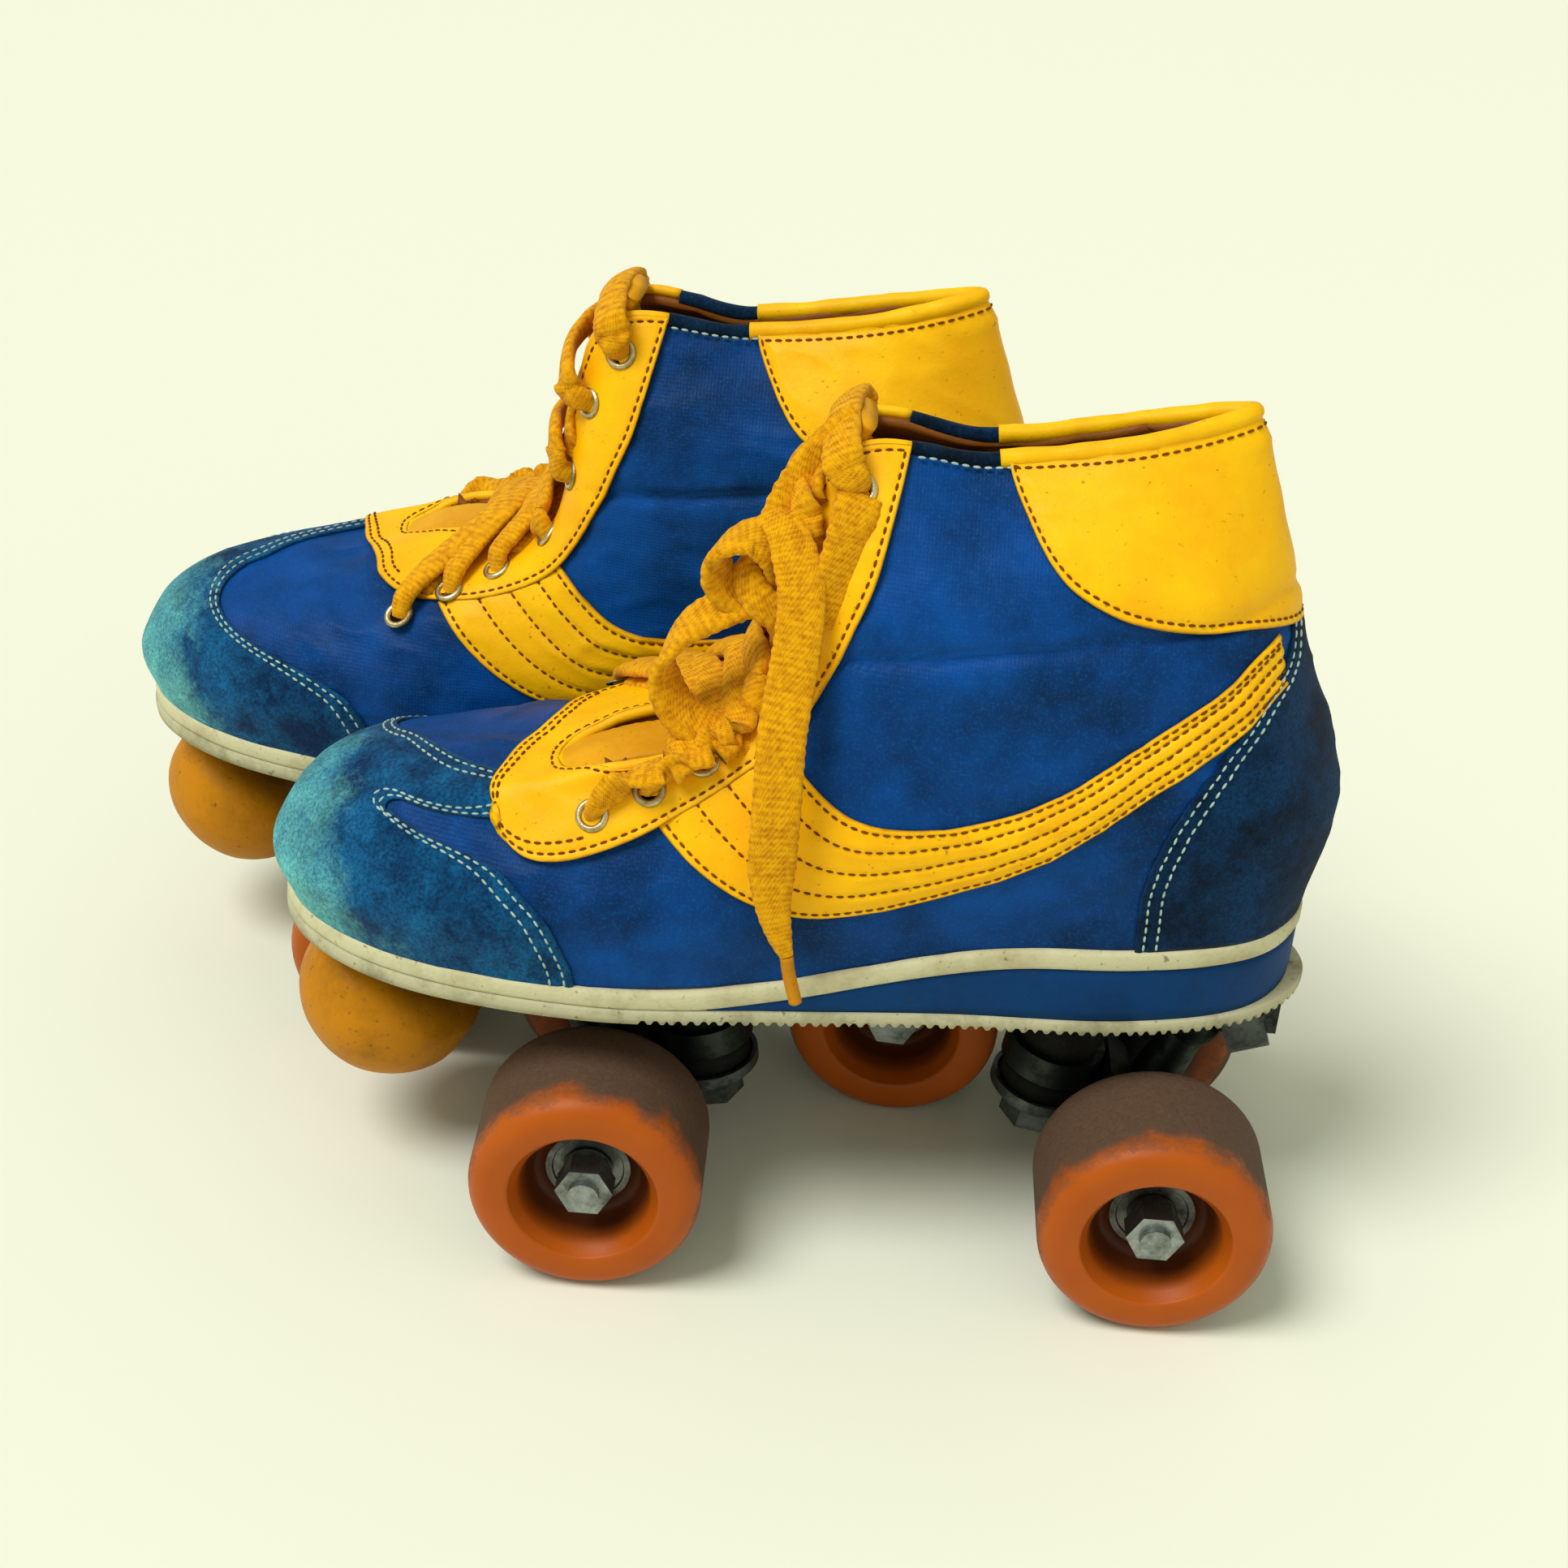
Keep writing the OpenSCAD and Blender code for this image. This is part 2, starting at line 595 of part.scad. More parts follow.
// Each rung of the lacing runs from one eyelet over the throat's edges to the other
rung_lift = 4;
edge_lift = 4.6;
bow_rise = 2;
function above(u, v, lift) = skin(u, v) + lift * outward(u, min(v, 2.95));
function half_rung(u, v) = [above(u, v, rung_lift), above(u, (v + 3) / 2, edge_lift), above(u, 3, edge_lift)];
function rung(e) = let (a = half_rung(e[0], e[1]), b = half_rung(keys - e[0], e[1]),
  up = unit(outward(e[0], 2.95) + outward(keys - e[0], 2.95)))
  smooth_route([a[0], a[1], a[2], (a[2] + b[2]) / 2 + up * bow_rise, b[2], b[1], b[0]], 2);
knot_at = [-41, -4, 199];
bow_high = [[-41, -3, 200], [-41, -1, 209], [-37, 1, 216], [-31, 3, 221], [-25, 5, 223]];
bow_loop = [[-42, -7, 199], [-48, -10, 204], [-56, -11, 203], [-61, -12, 196], [-58, -12, 188],
  [-50, -11, 186], [-43, -8, 194]];
bow_low = [[-41, -7, 196], [-47, -12, 187], [-57, -16, 175], [-62, -18, 164], [-57, -20, 156],
  [-48, -21, 155], [-43, -20, 163], [-41, -16, 176]];
knot_d = 13;

module rungs() {
  for (e = eyelet_spots) strap(rung(e), skin(e[0] + 0.2, 3) - skin(e[0] - 0.2, 3), lace_w, lace_t);
}

module left_lacing() {
  color("goldenrod") {
    rungs();
    translate(knot_at) sphere(d = knot_d, $fn = 12);
    for (route = [bow_high, bow_loop, bow_low])
      strap(smooth_route(route, 2), [0, 1, 0], lace_w, lace_t);
  }
}

module right_lacing() {
  color("goldenrod") rungs();
}

module lace_end() {
  color("goldenrod") strap(lace_end_route, [1, 0.25, 0.1], tail_w, lace_t);
}

module lace_aglet() {
  color("goldenrod") strap(aglet_route, [1, 0, 0], aglet_d, aglet_d);
}

quarter(outer);  // left_outer_quarter
quarter(inner);  // left_inner_quarter
tongue();  // left_tongue
insole();  // left_insole
welt();  // left_welt
heel_wedge();  // left_heel_wedge
outsole();  // left_outsole
eyelets();  // left_eyelets
left_lacing();
plate();  // left_plate
plate_bolts();  // left_plate_bolts
kingpins();  // left_kingpins
pivot_cups();  // left_pivot_cups
cushions(front);  // left_front_cushions
cushions(rear);  // left_rear_cushions
toe_stop();  // left_toe_stop
toe_stop_stem();  // left_toe_stop_stem
hanger(front);  // left_front_hanger
hanger(rear);  // left_rear_hanger
axle(front);  // left_front_axle
axle(rear);  // left_rear_axle
wheel(front, outer);  // left_front_outer_wheel
wheel(front, inner);  // left_front_inner_wheel
wheel(rear, outer);  // left_rear_outer_wheel
wheel(rear, inner);  // left_rear_inner_wheel
bearings(front, outer);  // left_front_outer_bearings
bearings(front, inner);  // left_front_inner_bearings
bearings(rear, outer);  // left_rear_outer_bearings
bearings(rear, inner);  // left_rear_inner_bearings
lace_end();  // left_lace_end
lace_aglet();  // left_lace_aglet
at_right() quarter(outer);  // right_outer_quarter
at_right() quarter(inner);  // right_inner_quarter
at_right() tongue();  // right_tongue
at_right() insole();  // right_insole
at_right() welt();  // right_welt
at_right() heel_wedge();  // right_heel_wedge
at_right() outsole();  // right_outsole
at_right() eyelets();  // right_eyelets
at_right() right_lacing();
at_right() plate();  // right_plate
at_right() plate_bolts();  // right_plate_bolts
at_right() kingpins();  // right_kingpins
at_right() pivot_cups();  // right_pivot_cups
at_right() cushions(front);  // right_front_cushions
at_right() cushions(rear);  // right_rear_cushions
at_right() toe_stop();  // right_toe_stop
at_right() toe_stop_stem();  // right_toe_stop_stem
at_right() hanger(front);  // right_front_hanger
at_right() hanger(rear);  // right_rear_hanger
at_right() axle(front);  // right_front_axle
at_right() axle(rear);  // right_rear_axle
at_right() wheel(front, outer);  // right_front_outer_wheel
at_right() wheel(front, inner);  // right_front_inner_wheel
at_right() wheel(rear, outer);  // right_rear_outer_wheel
at_right() wheel(rear, inner);  // right_rear_inner_wheel
at_right() bearings(front, outer);  // right_front_outer_bearings
at_right() bearings(front, inner);  // right_front_inner_bearings
at_right() bearings(rear, outer);  // right_rear_outer_bearings
at_right() bearings(rear, inner);  // right_rear_inner_bearings
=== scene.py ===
import math
import bpy
import bmesh
import numpy as np
from mathutils import Matrix, Vector, noise


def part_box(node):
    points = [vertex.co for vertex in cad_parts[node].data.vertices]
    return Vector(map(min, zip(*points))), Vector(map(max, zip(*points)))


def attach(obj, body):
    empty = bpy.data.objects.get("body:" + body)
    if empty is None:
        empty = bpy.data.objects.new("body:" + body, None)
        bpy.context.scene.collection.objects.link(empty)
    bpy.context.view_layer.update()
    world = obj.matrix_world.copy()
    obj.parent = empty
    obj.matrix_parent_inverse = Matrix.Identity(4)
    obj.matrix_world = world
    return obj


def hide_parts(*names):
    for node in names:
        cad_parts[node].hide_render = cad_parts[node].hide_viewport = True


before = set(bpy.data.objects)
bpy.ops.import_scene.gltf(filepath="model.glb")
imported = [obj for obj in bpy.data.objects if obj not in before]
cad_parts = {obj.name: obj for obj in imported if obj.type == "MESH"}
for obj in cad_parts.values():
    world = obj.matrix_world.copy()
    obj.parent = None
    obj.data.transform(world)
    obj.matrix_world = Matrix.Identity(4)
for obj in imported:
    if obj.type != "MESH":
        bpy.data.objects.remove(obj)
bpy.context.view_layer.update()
mm = 0.001
print("frame loaded")

# ---- camera: looks down at the outer side of the left skate

viewpoint = {"place": (-22.5, -548, 440.35), "yaw": 0.82, "dip": 30.3, "roll": 4.13, "lens": 56.63}


def makeCamera():
    data = bpy.data.cameras.new("camera")
    data.lens = viewpoint["lens"]
    data.sensor_width = 36
    camera = bpy.data.objects.new("camera", data)
    bpy.context.scene.collection.objects.link(camera)
    turn = Matrix.Rotation(math.radians(viewpoint["yaw"]), 4, "Z")
    turn = turn @ Matrix.Rotation(math.radians(90 - viewpoint["dip"]), 4, "X")
    turn = turn @ Matrix.Rotation(math.radians(viewpoint["roll"]), 4, "Z")
    camera.matrix_world = Matrix.Translation(Vector(viewpoint["place"]) * mm) @ turn
    bpy.context.scene.camera = camera


makeCamera()

# ---- nodes and colours


def linear(hexColour):
    channels = [int(hexColour[i:i + 2], 16) / 255 for i in (0, 2, 4)]
    return (*[c / 12.92 if c <= 0.04045 else ((c + 0.055) / 1.055) ** 2.4 for c in channels], 1)


def add(tree, kind, inputs=None, **settings):
    node = tree.nodes.new(kind)
    for name, value in settings.items():
        setattr(node, name, value)
    for key, value in (inputs or {}).items():
        if isinstance(value, bpy.types.NodeSocket):
            tree.links.new(value, node.inputs[key])
        else:
            node.inputs[key].default_value = value
    return node


def blend(tree, share, first, second):  # a mix of two colours, each a socket or a linear colour
    return add(tree, "ShaderNodeMix", {0: share, 6: first, 7: second}, data_type="RGBA")


def newFinish(name, **sockets):
    mat = bpy.data.materials.new(name)
    mat.use_nodes = True
    tree = mat.node_tree
    shader = tree.nodes["Principled BSDF"]
    for key, value in sockets.items():
        shader.inputs[key.replace("_", " ")].default_value = value
    place = add(tree, "ShaderNodeTexCoord").outputs["Object"]
    return mat, tree, shader, place


wavePeriod = 0.314  # a wave texture at scale 1 repeats this often, in metres


def wovenNylon():  # plain-woven nylon taffeta: a soft sheen, and noise blotches that mix a deep blue and a paler blue, the nylon's shaded and lit tones painted in at random
    mat, tree, shader, place = newFinish("wovenNylon", Roughness=0.5, Sheen_Weight=0.02, Specular_IOR_Level=0.1)
    shader.inputs["Sheen Tint"].default_value = linear("5aa0e8")
    blotch = add(tree, "ShaderNodeTexNoise", {"Vector": place, "Scale": 28, "Detail": 4, "Roughness": 0.6})
    spread = add(tree, "ShaderNodeMapRange", {0: blotch.outputs[0], 1: 0.36, 2: 0.66})
    # painted shade and painted light: the dark end is the nylon's tone in shade, the pale end its tone in light
    base = blend(tree, spread.outputs[0], linear("002650"), linear("014590"))
    speck = add(tree, "ShaderNodeTexNoise", {"Vector": place, "Scale": 1400, "Detail": 2})
    fleck = add(tree, "ShaderNodeMapRange", {0: speck.outputs[0], 1: 0.5, 2: 0.75, 4: 0.28})
    colour = blend(tree, fleck.outputs[0], base.outputs[2], linear("0e62a8"))
    tree.links.new(colour.outputs[2], shader.inputs["Base Color"])
    threads = wavePeriod / (0.9 * mm)  # thread spacing, drawn coarse enough to see
    warp = add(tree, "ShaderNodeTexWave", {"Vector": place, "Scale": threads}, bands_direction="X")
    weft = add(tree, "ShaderNodeTexWave", {"Vector": place, "Scale": threads}, bands_direction="Z")
    weave = add(tree, "ShaderNodeMath", {0: warp.outputs[1], 1: weft.outputs[1]}, operation="MULTIPLY")
    rumple = add(tree, "ShaderNodeTexNoise", {"Vector": place, "Scale": 130, "Detail": 4})
    low = add(tree, "ShaderNodeBump", {"Height": rumple.outputs[0], "Strength": 0.5, "Distance": 0.9 * mm})
    fine = add(tree, "ShaderNodeBump", {"Height": weave.outputs[0], "Strength": 0.35, "Distance": 0.15 * mm,
                                        "Normal": low.outputs[0]})
    tree.links.new(fine.outputs[0], shader.inputs["Normal"])
    return mat


def coatedLeather(name, bright, deep):  # coated split leather: fine pebble grain, dark soiled cut edges
    mat, tree, shader, place = newFinish(name, Roughness=0.46, Specular_IOR_Level=0.16)
    blotch = add(tree, "ShaderNodeTexNoise", {"Vector": place, "Scale": 45, "Detail": 5, "Roughness": 0.65})
    spread = add(tree, "ShaderNodeMapRange", {0: blotch.outputs[0], 1: 0.35, 2: 0.7})
    base = blend(tree, spread.outputs[0], linear(bright), linear(deep))
    edge = add(tree, "ShaderNodeAttribute", attribute_name="edgeMm")
    ragged = add(tree, "ShaderNodeTexNoise", {"Vector": place, "Scale": 260, "Detail": 3})
    moved = add(tree, "ShaderNodeMath", {0: ragged.outputs[0], 1: 0.9, 2: edge.outputs["Fac"]},
                operation="MULTIPLY_ADD")
    soil = add(tree, "ShaderNodeMapRange", {0: moved.outputs[0], 1: 0.45, 2: 1.1, 3: 0.75, 4: 0.0})
    colour = blend(tree, soil.outputs[0], base.outputs[2], linear("8a4d06"))
    dots = add(tree, "ShaderNodeTexNoise", {"Vector": place, "Scale": 700, "Detail": 1})
    dirt = add(tree, "ShaderNodeMapRange", {0: dots.outputs[0], 1: 0.7, 2: 0.8, 4: 0.55})
    final = blend(tree, dirt.outputs[0], colour.outputs[2], linear("6e4004"))
    tree.links.new(final.outputs[2], shader.inputs["Base Color"])
    pebble = add(tree, "ShaderNodeTexVoronoi", {"Vector": place, "Scale": 1 / (0.9 * mm)})
    ripple = add(tree, "ShaderNodeTexNoise", {"Vector": place, "Scale": 160, "Detail": 4})
    low = add(tree, "ShaderNodeBump", {"Height": ripple.outputs[0], "Strength": 0.35, "Distance": 0.6 * mm})
    fine = add(tree, "ShaderNodeBump", {"Height": pebble.outputs[0], "Strength": 0.3, "Distance": 0.12 * mm,
                                        "Normal": low.outputs[0]})
    tree.links.new(fine.outputs[0], shader.inputs["Normal"])
    return mat


def brushedSuede(name, dark, mid, worn, wear):  # napped suede: matt, cloudy where the nap lies over, pale where rubbed
    mat, tree, shader, place = newFinish(name, Roughness=0.95, Sheen_Weight=0.08, Sheen_Roughness=0.5,
                                          Specular_IOR_Level=0.05)
    cloud = add(tree, "ShaderNodeTexNoise", {"Vector": place, "Scale": 60, "Detail": 6, "Roughness": 0.7})
    ramp = add(tree, "ShaderNodeMapRange", {0: cloud.outputs[0], 1: 0.38, 2: 0.62})
    base = blend(tree, ramp.outputs[0], linear(dark), linear(mid))
    toe = add(tree, "ShaderNodeAttribute", attribute_name="rubMm")
    rub = add(tree, "ShaderNodeTexNoise", {"Vector": place, "Scale": 95, "Detail": 7, "Roughness": 0.75})
    both = add(tree, "ShaderNodeMath", {0: rub.outputs[0], 1: 0.9, 2: toe.outputs["Fac"]}, operation="MULTIPLY_ADD")
    rubbed = add(tree, "ShaderNodeMapRange", {0: both.outputs[0], 1: 0.72, 2: 1.25, 4: wear})
    colour = blend(tree, rubbed.outputs[0], base.outputs[2], linear(worn))
    grit = add(tree, "ShaderNodeTexNoise", {"Vector": place, "Scale": 1 / (0.9 * mm), "Detail": 3, "Roughness": 0.8})
    fleck = add(tree, "ShaderNodeMapRange", {0: grit.outputs[0], 1: 0.35, 2: 0.65, 3: 0.55, 4: 1.5})
    final = add(tree, "ShaderNodeMix", {0: 1.0, 6: colour.outputs[2], 7: fleck.outputs[0]}, data_type="RGBA",
                blend_type="MULTIPLY")
    tree.links.new(final.outputs[2], shader.inputs["Base Color"])
    nap = add(tree, "ShaderNodeTexNoise", {"Vector": place, "Scale": 1 / (0.7 * mm), "Detail": 4, "Roughness": 0.8})
    bump = add(tree, "ShaderNodeBump", {"Height": nap.outputs[0], "Strength": 0.8, "Distance": 0.35 * mm})
    tree.links.new(bump.outputs[0], shader.inputs["Normal"])
    return mat


def mouldedRubber(name, clean, soiled, rough, grain, share=0.6):  # matt moulded rubber with ground-in dirt
    mat, tree, shader, place = newFinish(name, Roughness=rough, Specular_IOR_Level=0.12)
    cloud = add(tree, "ShaderNodeTexNoise", {"Vector": place, "Scale": 70, "Detail": 6, "Roughness": 0.7})
    patch = add(tree, "ShaderNodeMapRange", {0: cloud.outputs[0], 1: 0.45, 2: 0.72, 4: share})
    base = blend(tree, patch.outputs[0], linear(clean), linear(soiled))
    dots = add(tree, "ShaderNodeTexNoise", {"Vector": place, "Scale": 520, "Detail": 2})
    specks = add(tree, "ShaderNodeMapRange", {0: dots.outputs[0], 1: 0.66, 2: 0.76, 4: 0.6})
    colour = blend(tree, specks.outputs[0], base.outputs[2], linear("3a3326"))
    tree.links.new(colour.outputs[2], shader.inputs["Base Color"])
    pits = add(tree, "ShaderNodeTexNoise", {"Vector": place, "Scale": 1 / (grain * mm), "Detail": 4})
    bump = add(tree, "ShaderNodeBump", {"Height": pits.outputs[0], "Strength": 0.5, "Distance": 0.3 * mm})
    tree.links.new(bump.outputs[0], shader.inputs["Normal"])
    return mat


def braidedCotton(name, bright, deep):  # flat braided cotton lace: chevron braid, fuzzy, with painted shade darkening the braid's hollows
    mat, tree, shader, place = newFinish(name, Roughness=0.85, Sheen_Weight=0.05, Specular_IOR_Level=0.08)
    cloth = add(tree, "ShaderNodeUVMap", uv_map="cloth")
    axes = add(tree, "ShaderNodeSeparateXYZ", {0: cloth.outputs[0]})
    across = add(tree, "ShaderNodeMath", {0: axes.outputs[0]}, operation="ABSOLUTE")
    slant = add(tree, "ShaderNodeMath", {0: axes.outputs[1], 1: across.outputs[0]}, operation="ADD")
    braid = add(tree, "ShaderNodeMath", {0: slant.outputs[0], 1: math.tau / (1.6 * mm)}, operation="MULTIPLY")
    wave = add(tree, "ShaderNodeMath", {0: braid.outputs[0]}, operation="SINE")
    ribs = add(tree, "ShaderNodeMath", {0: axes.outputs[0], 1: math.tau / (1.5 * mm)}, operation="MULTIPLY")
    rib = add(tree, "ShaderNodeMath", {0: ribs.outputs[0]}, operation="SINE")
    both = add(tree, "ShaderNodeMath", {0: wave.outputs[0], 1: rib.outputs[0]}, operation="MULTIPLY")
    cloud = add(tree, "ShaderNodeTexNoise", {"Vector": place, "Scale": 420, "Detail": 5, "Roughness": 0.75})
    # the colour follows the braid's relief, the same height as the bump below: painted shade in the braid's hollows
    mixed = add(tree, "ShaderNodeMath", {0: both.outputs[0], 1: 0.1, 2: cloud.outputs[0]}, operation="MULTIPLY_ADD")
    ramp = add(tree, "ShaderNodeMapRange", {0: mixed.outputs[0], 1: 0.3, 2: 0.62})
    colour = blend(tree, ramp.outputs[0], linear(deep), linear(bright))
    tree.links.new(colour.outputs[2], shader.inputs["Base Color"])
    bump = add(tree, "ShaderNodeBump", {"Height": mixed.outputs[0], "Strength": 0.9, "Distance": 0.5 * mm})
    tree.links.new(bump.outputs[0], shader.inputs["Normal"])
    return mat


def castUrethane():  # cast polyurethane: waxy, slightly see-through orange under ground-in grey dirt, with painted shade deepening into the face's hollow
    mat, tree, shader, place = newFinish("castUrethane", Roughness=0.4, Subsurface_Weight=0.05, Subsurface_Scale=0.004,
                                          Specular_IOR_Level=0.2)
    shader.inputs["Subsurface Radius"].default_value = (1.0, 0.35, 0.1)
    cloud = add(tree, "ShaderNodeTexNoise", {"Vector": place, "Scale": 60, "Detail": 4})
    base = blend(tree, cloud.outputs[0], linear("b85806"), linear("a04806"))
    # painted shade: the face's hollow turns dark brown with depth, down to the hub
    depth = add(tree, "ShaderNodeAttribute", attribute_name="hollow")
    paintedHollowShade = blend(tree, depth.outputs["Fac"], base.outputs[2], linear("4a2008"))
    dirt = add(tree, "ShaderNodeAttribute", attribute_name="grime")
    grit = add(tree, "ShaderNodeTexNoise", {"Vector": place, "Scale": 1 / (1.1 * mm), "Detail": 5, "Roughness": 0.85})
    streak = add(tree, "ShaderNodeTexNoise", {"Vector": place, "Scale": 120, "Detail": 4})
    some = add(tree, "ShaderNodeMath", {0: grit.outputs[0], 1: streak.outputs[0]}, operation="ADD")
    both = add(tree, "ShaderNodeMath", {0: some.outputs[0], 1: 0.9, 2: dirt.outputs["Fac"]}, operation="MULTIPLY_ADD")
    cover = add(tree, "ShaderNodeMapRange", {0: both.outputs[0], 1: 1.12, 2: 1.55, 4: 0.94})
    grey = blend(tree, grit.outputs[0], linear("17140f"), linear("6a5847"))
    final = blend(tree, cover.outputs[0], paintedHollowShade.outputs[2], grey.outputs[2])
    tree.links.new(final.outputs[2], shader.inputs["Base Color"])
    rough = add(tree, "ShaderNodeMapRange", {0: cover.outputs[0], 3: 0.38, 4: 0.85})
    tree.links.new(rough.outputs[0], shader.inputs["Roughness"])
    bump = add(tree, "ShaderNodeBump", {"Height": grit.outputs[0], "Strength": 0.35, "Distance": 0.25 * mm})
    tree.links.new(bump.outputs[0], shader.inputs["Normal"])
    return mat


def agedMetal(name, clean, stain, rough, grain, metal=1.0):  # bare or plated metal, dulled and stained by use
    mat, tree, shader, place = newFinish(name, Metallic=metal, Roughness=rough)
    cloud = add(tree, "ShaderNodeTexNoise", {"Vector": place, "Scale": 110, "Detail": 6, "Roughness": 0.7})
    patch = add(tree, "ShaderNodeMapRange", {0: cloud.outputs[0], 1: 0.42, 2: 0.68})
    colour = blend(tree, patch.outputs[0], linear(clean), linear(stain))
    tree.links.new(colour.outputs[2], shader.inputs["Base Color"])
    dull = add(tree, "ShaderNodeMapRange", {0: patch.outputs[0], 3: rough, 4: min(1.0, rough + 0.3)})
    tree.links.new(dull.outputs[0], shader.inputs["Roughness"])
    pits = add(tree, "ShaderNodeTexNoise", {"Vector": place, "Scale": 1 / (grain * mm), "Detail": 3})
    bump = add(tree, "ShaderNodeBump", {"Height": pits.outputs[0], "Strength": 0.35, "Distance": 0.2 * mm})
    tree.links.new(bump.outputs[0], shader.inputs["Normal"])
    return mat


nylon = wovenNylon()
goldLeather = coatedLeather("coatedLeather", "fcc200", "f4ac00")
bindingLeather = coatedLeather("bindingLeather", "fcc600", "e8a400")
tongueLeather = coatedLeather("tongueLeather", "e8a606", "cc8a08")
brownLining = coatedLeather("brownLining", "6b4322", "4a2c14")
toeSuede = brushedSuede("toeSuede", "04284e", "0f5684", "6cc6c2", 0.85)
heelSuede = brushedSuede("heelSuede", "01162c", "043056", "0f5a7c", 0.3)
navyTape = brushedSuede("navyTape", "03101c", "0a2a48", "2a5a78", 0.2)
weltRubber = mouldedRubber("weltRubber", "ccc7a2", "a3966c", 0.75, 0.8, 0.7)
soleRubber = mouldedRubber("soleRubber", "b9b594", "77704f", 0.85, 1.0, 0.8)
wedgeFoam = mouldedRubber("wedgeFoam", "01396e", "06264a", 0.6, 0.5, 0.5)
stopRubber = mouldedRubber("stopRubber", "c07c08", "8c5a0a", 0.5, 1.2, 0.7)
blackRubber = mouldedRubber("blackRubber", "121210", "26231d", 0.7, 0.8)
nylonCup = mouldedRubber("nylonCup", "b9b39a", "7a7358", 0.5, 0.8)
insoleBoard = mouldedRubber("insoleBoard", "5c3a1e", "3c2512", 0.9, 0.8)
laceCotton = braidedCotton("laceCotton", "eeac0a", "b87206")
lacePlastic = mouldedRubber("lacePlastic", "d08a10", "a86a0c", 0.35, 0.6)
brownThread = mouldedRubber("brownThread", "7a4606", "4a2904", 0.9, 0.3)
creamThread = mouldedRubber("creamThread", "a9c2b4", "5f9096", 0.9, 0.3)
orangeWheel = castUrethane()
castAlloy = agedMetal("castAlloy", "5b6160", "2f3430", 0.5, 0.9)
zincPlate = agedMetal("zincPlate", "9aa2a0", "4c5048", 0.32, 0.6)
dullSteel = agedMetal("dullSteel", "343a36", "1a1d1a", 0.45, 0.8)
oiledSteel = agedMetal("oiledSteel", "6e7270", "3b3a34", 0.35, 0.5)
eyeletSteel = agedMetal("eyeletSteel", "d8cfa8", "8a7440", 0.3, 0.4)
# painted shade: a near-black disc that closes each eyelet's barrel, standing in for the shade down the hole
darkHole = mouldedRubber("darkHole", "120c04", "1c1408", 0.95, 0.6)
print("materials made")

# ---- the boot's surface: four outlines from the welt to the rim, joined by smooth curves, in millimetres

boot = {
    "welt": [(-158, 0), (-148, 22), (-120, 39), (-75, 46), (-30, 42), (15, 37), (60, 34), (92, 23), (105, 0)],
    "wide": [(-161, 0, 15), (-151, 23, 14), (-122, 40, 16), (-76, 46, 22), (-30, 43, 30), (4, 39, 48),
             (50, 37, 58), (90, 26, 58), (109, 0, 51)],
    "instep": [(-141, 0, 37), (-132, 20, 35), (-108, 30, 36), (-70, 34, 44), (-36, 30, 60), (-9, 31, 95),
               (34, 29, 103), (70, 23, 103), (92, 0, 95)],
    "rim": [(-86, 0, 47), (-83, 8, 48), (-72, 13, 53), (-52, 14, 59), (-33, 14, 73), (-23, 12, 128),
            (14, 8, 130), (50, 8, 137), (75, 0, 144)],
    "innerShare": 0.95, "waistShare": 0.86, "sway": 8, "swayFrom": 26, "height": 144, "wall": 3.5,
    "slew": 16, "slewFrom": -25, "slewOver": 40,
}
sole = {"low": 75, "outsole": 4, "welt": 5, "heelRise": 16}
outsoleTop = sole["low"] + sole["outsole"]
toeHeight = outsoleTop + sole["welt"]
keyCount = 16


def ease(t):
    t = np.clip(t, 0, 1)
    return t * t * (3 - 2 * t)


def weltTop(x):
    return toeHeight + sole["heelRise"] * ease((x + 60) / 105)


def weltLow(x):
    return np.maximum(outsoleTop, weltTop(x) - sole["welt"] - 0.5)


def keyRows():
    rows = []
    for level, name in enumerate(("welt", "wide", "instep", "rim")):
        outer, inner = [], []
        for key in boot[name]:
            z = weltTop(key[0]) if level == 0 else toeHeight + key[2]
            lean = boot["sway"] * ease((z - toeHeight - boot["swayFrom"]) / (boot["height"] - boot["swayFrom"]))
            lean = lean if level else 0
            if level == 3:
                lean -= boot["slew"] * ease((boot["slewFrom"] - key[0]) / boot["slewOver"])
            outer.append((key[0], lean - key[1], z))
            share = boot["waistShare"] if level == 0 and -60 < key[0] < 40 else boot["innerShare"]
            inner.append((key[0], lean + share * key[1], z))
        rows.append(outer + inner[-2:0:-1])
    return np.array(rows, float)


keyGrid = keyRows()


def curve(a, b, c, d, t):
    return (2 * b + (c - a) * t + (2 * a - 5 * b + 4 * c - d) * t * t + (3 * b - a - 3 * c + d) * t ** 3) / 2


def levelPoint(level, u):
    k = np.floor(u).astype(int)
    t = (u - k)[..., None]
    row = keyGrid[level]
    return curve(*[row[(k + i) % keyCount] for i in (-1, 0, 1, 2)], t)


def skin(u, v):  # u counts the outlines' points round the foot from the toe, outer side first; v is 0 to 3 upwards
    u, v = np.broadcast_arrays(np.asarray(u, float), np.asarray(v, float))
    p = [levelPoint(i, u) for i in range(4)]
    s = np.clip(np.floor(v), 0, 2)[..., None]
    t = v[..., None] - s
    a = np.where(s < 1, 2 * p[0] - p[1], np.where(s < 2, p[0], p[1]))
    b = np.where(s < 1, p[0], np.where(s < 2, p[1], p[2]))
    c = np.where(s < 1, p[1], np.where(s < 2, p[2], p[3]))
    d = np.where(s < 1, p[2], np.where(s < 2, p[3], 2 * p[3] - p[2]))
    return curve(a, b, c, d, t)


def unit(v):
    return v / np.maximum(np.linalg.norm(v, axis=-1, keepdims=True), 1e-9)


def outward(u, v):
    u, v = np.broadcast_arrays(np.asarray(u, float), np.asarray(v, float))
    e = 0.05
    up = skin(u, np.minimum(3, v + e)) - skin(u, np.maximum(0, v - e))
    return unit(np.cross(skin(u + e, v) - skin(u - e, v), up))


cloth = {"soft": 0.75, "crease": 0.9, "seamDip": 1.7, "seamPuff": 1.0}


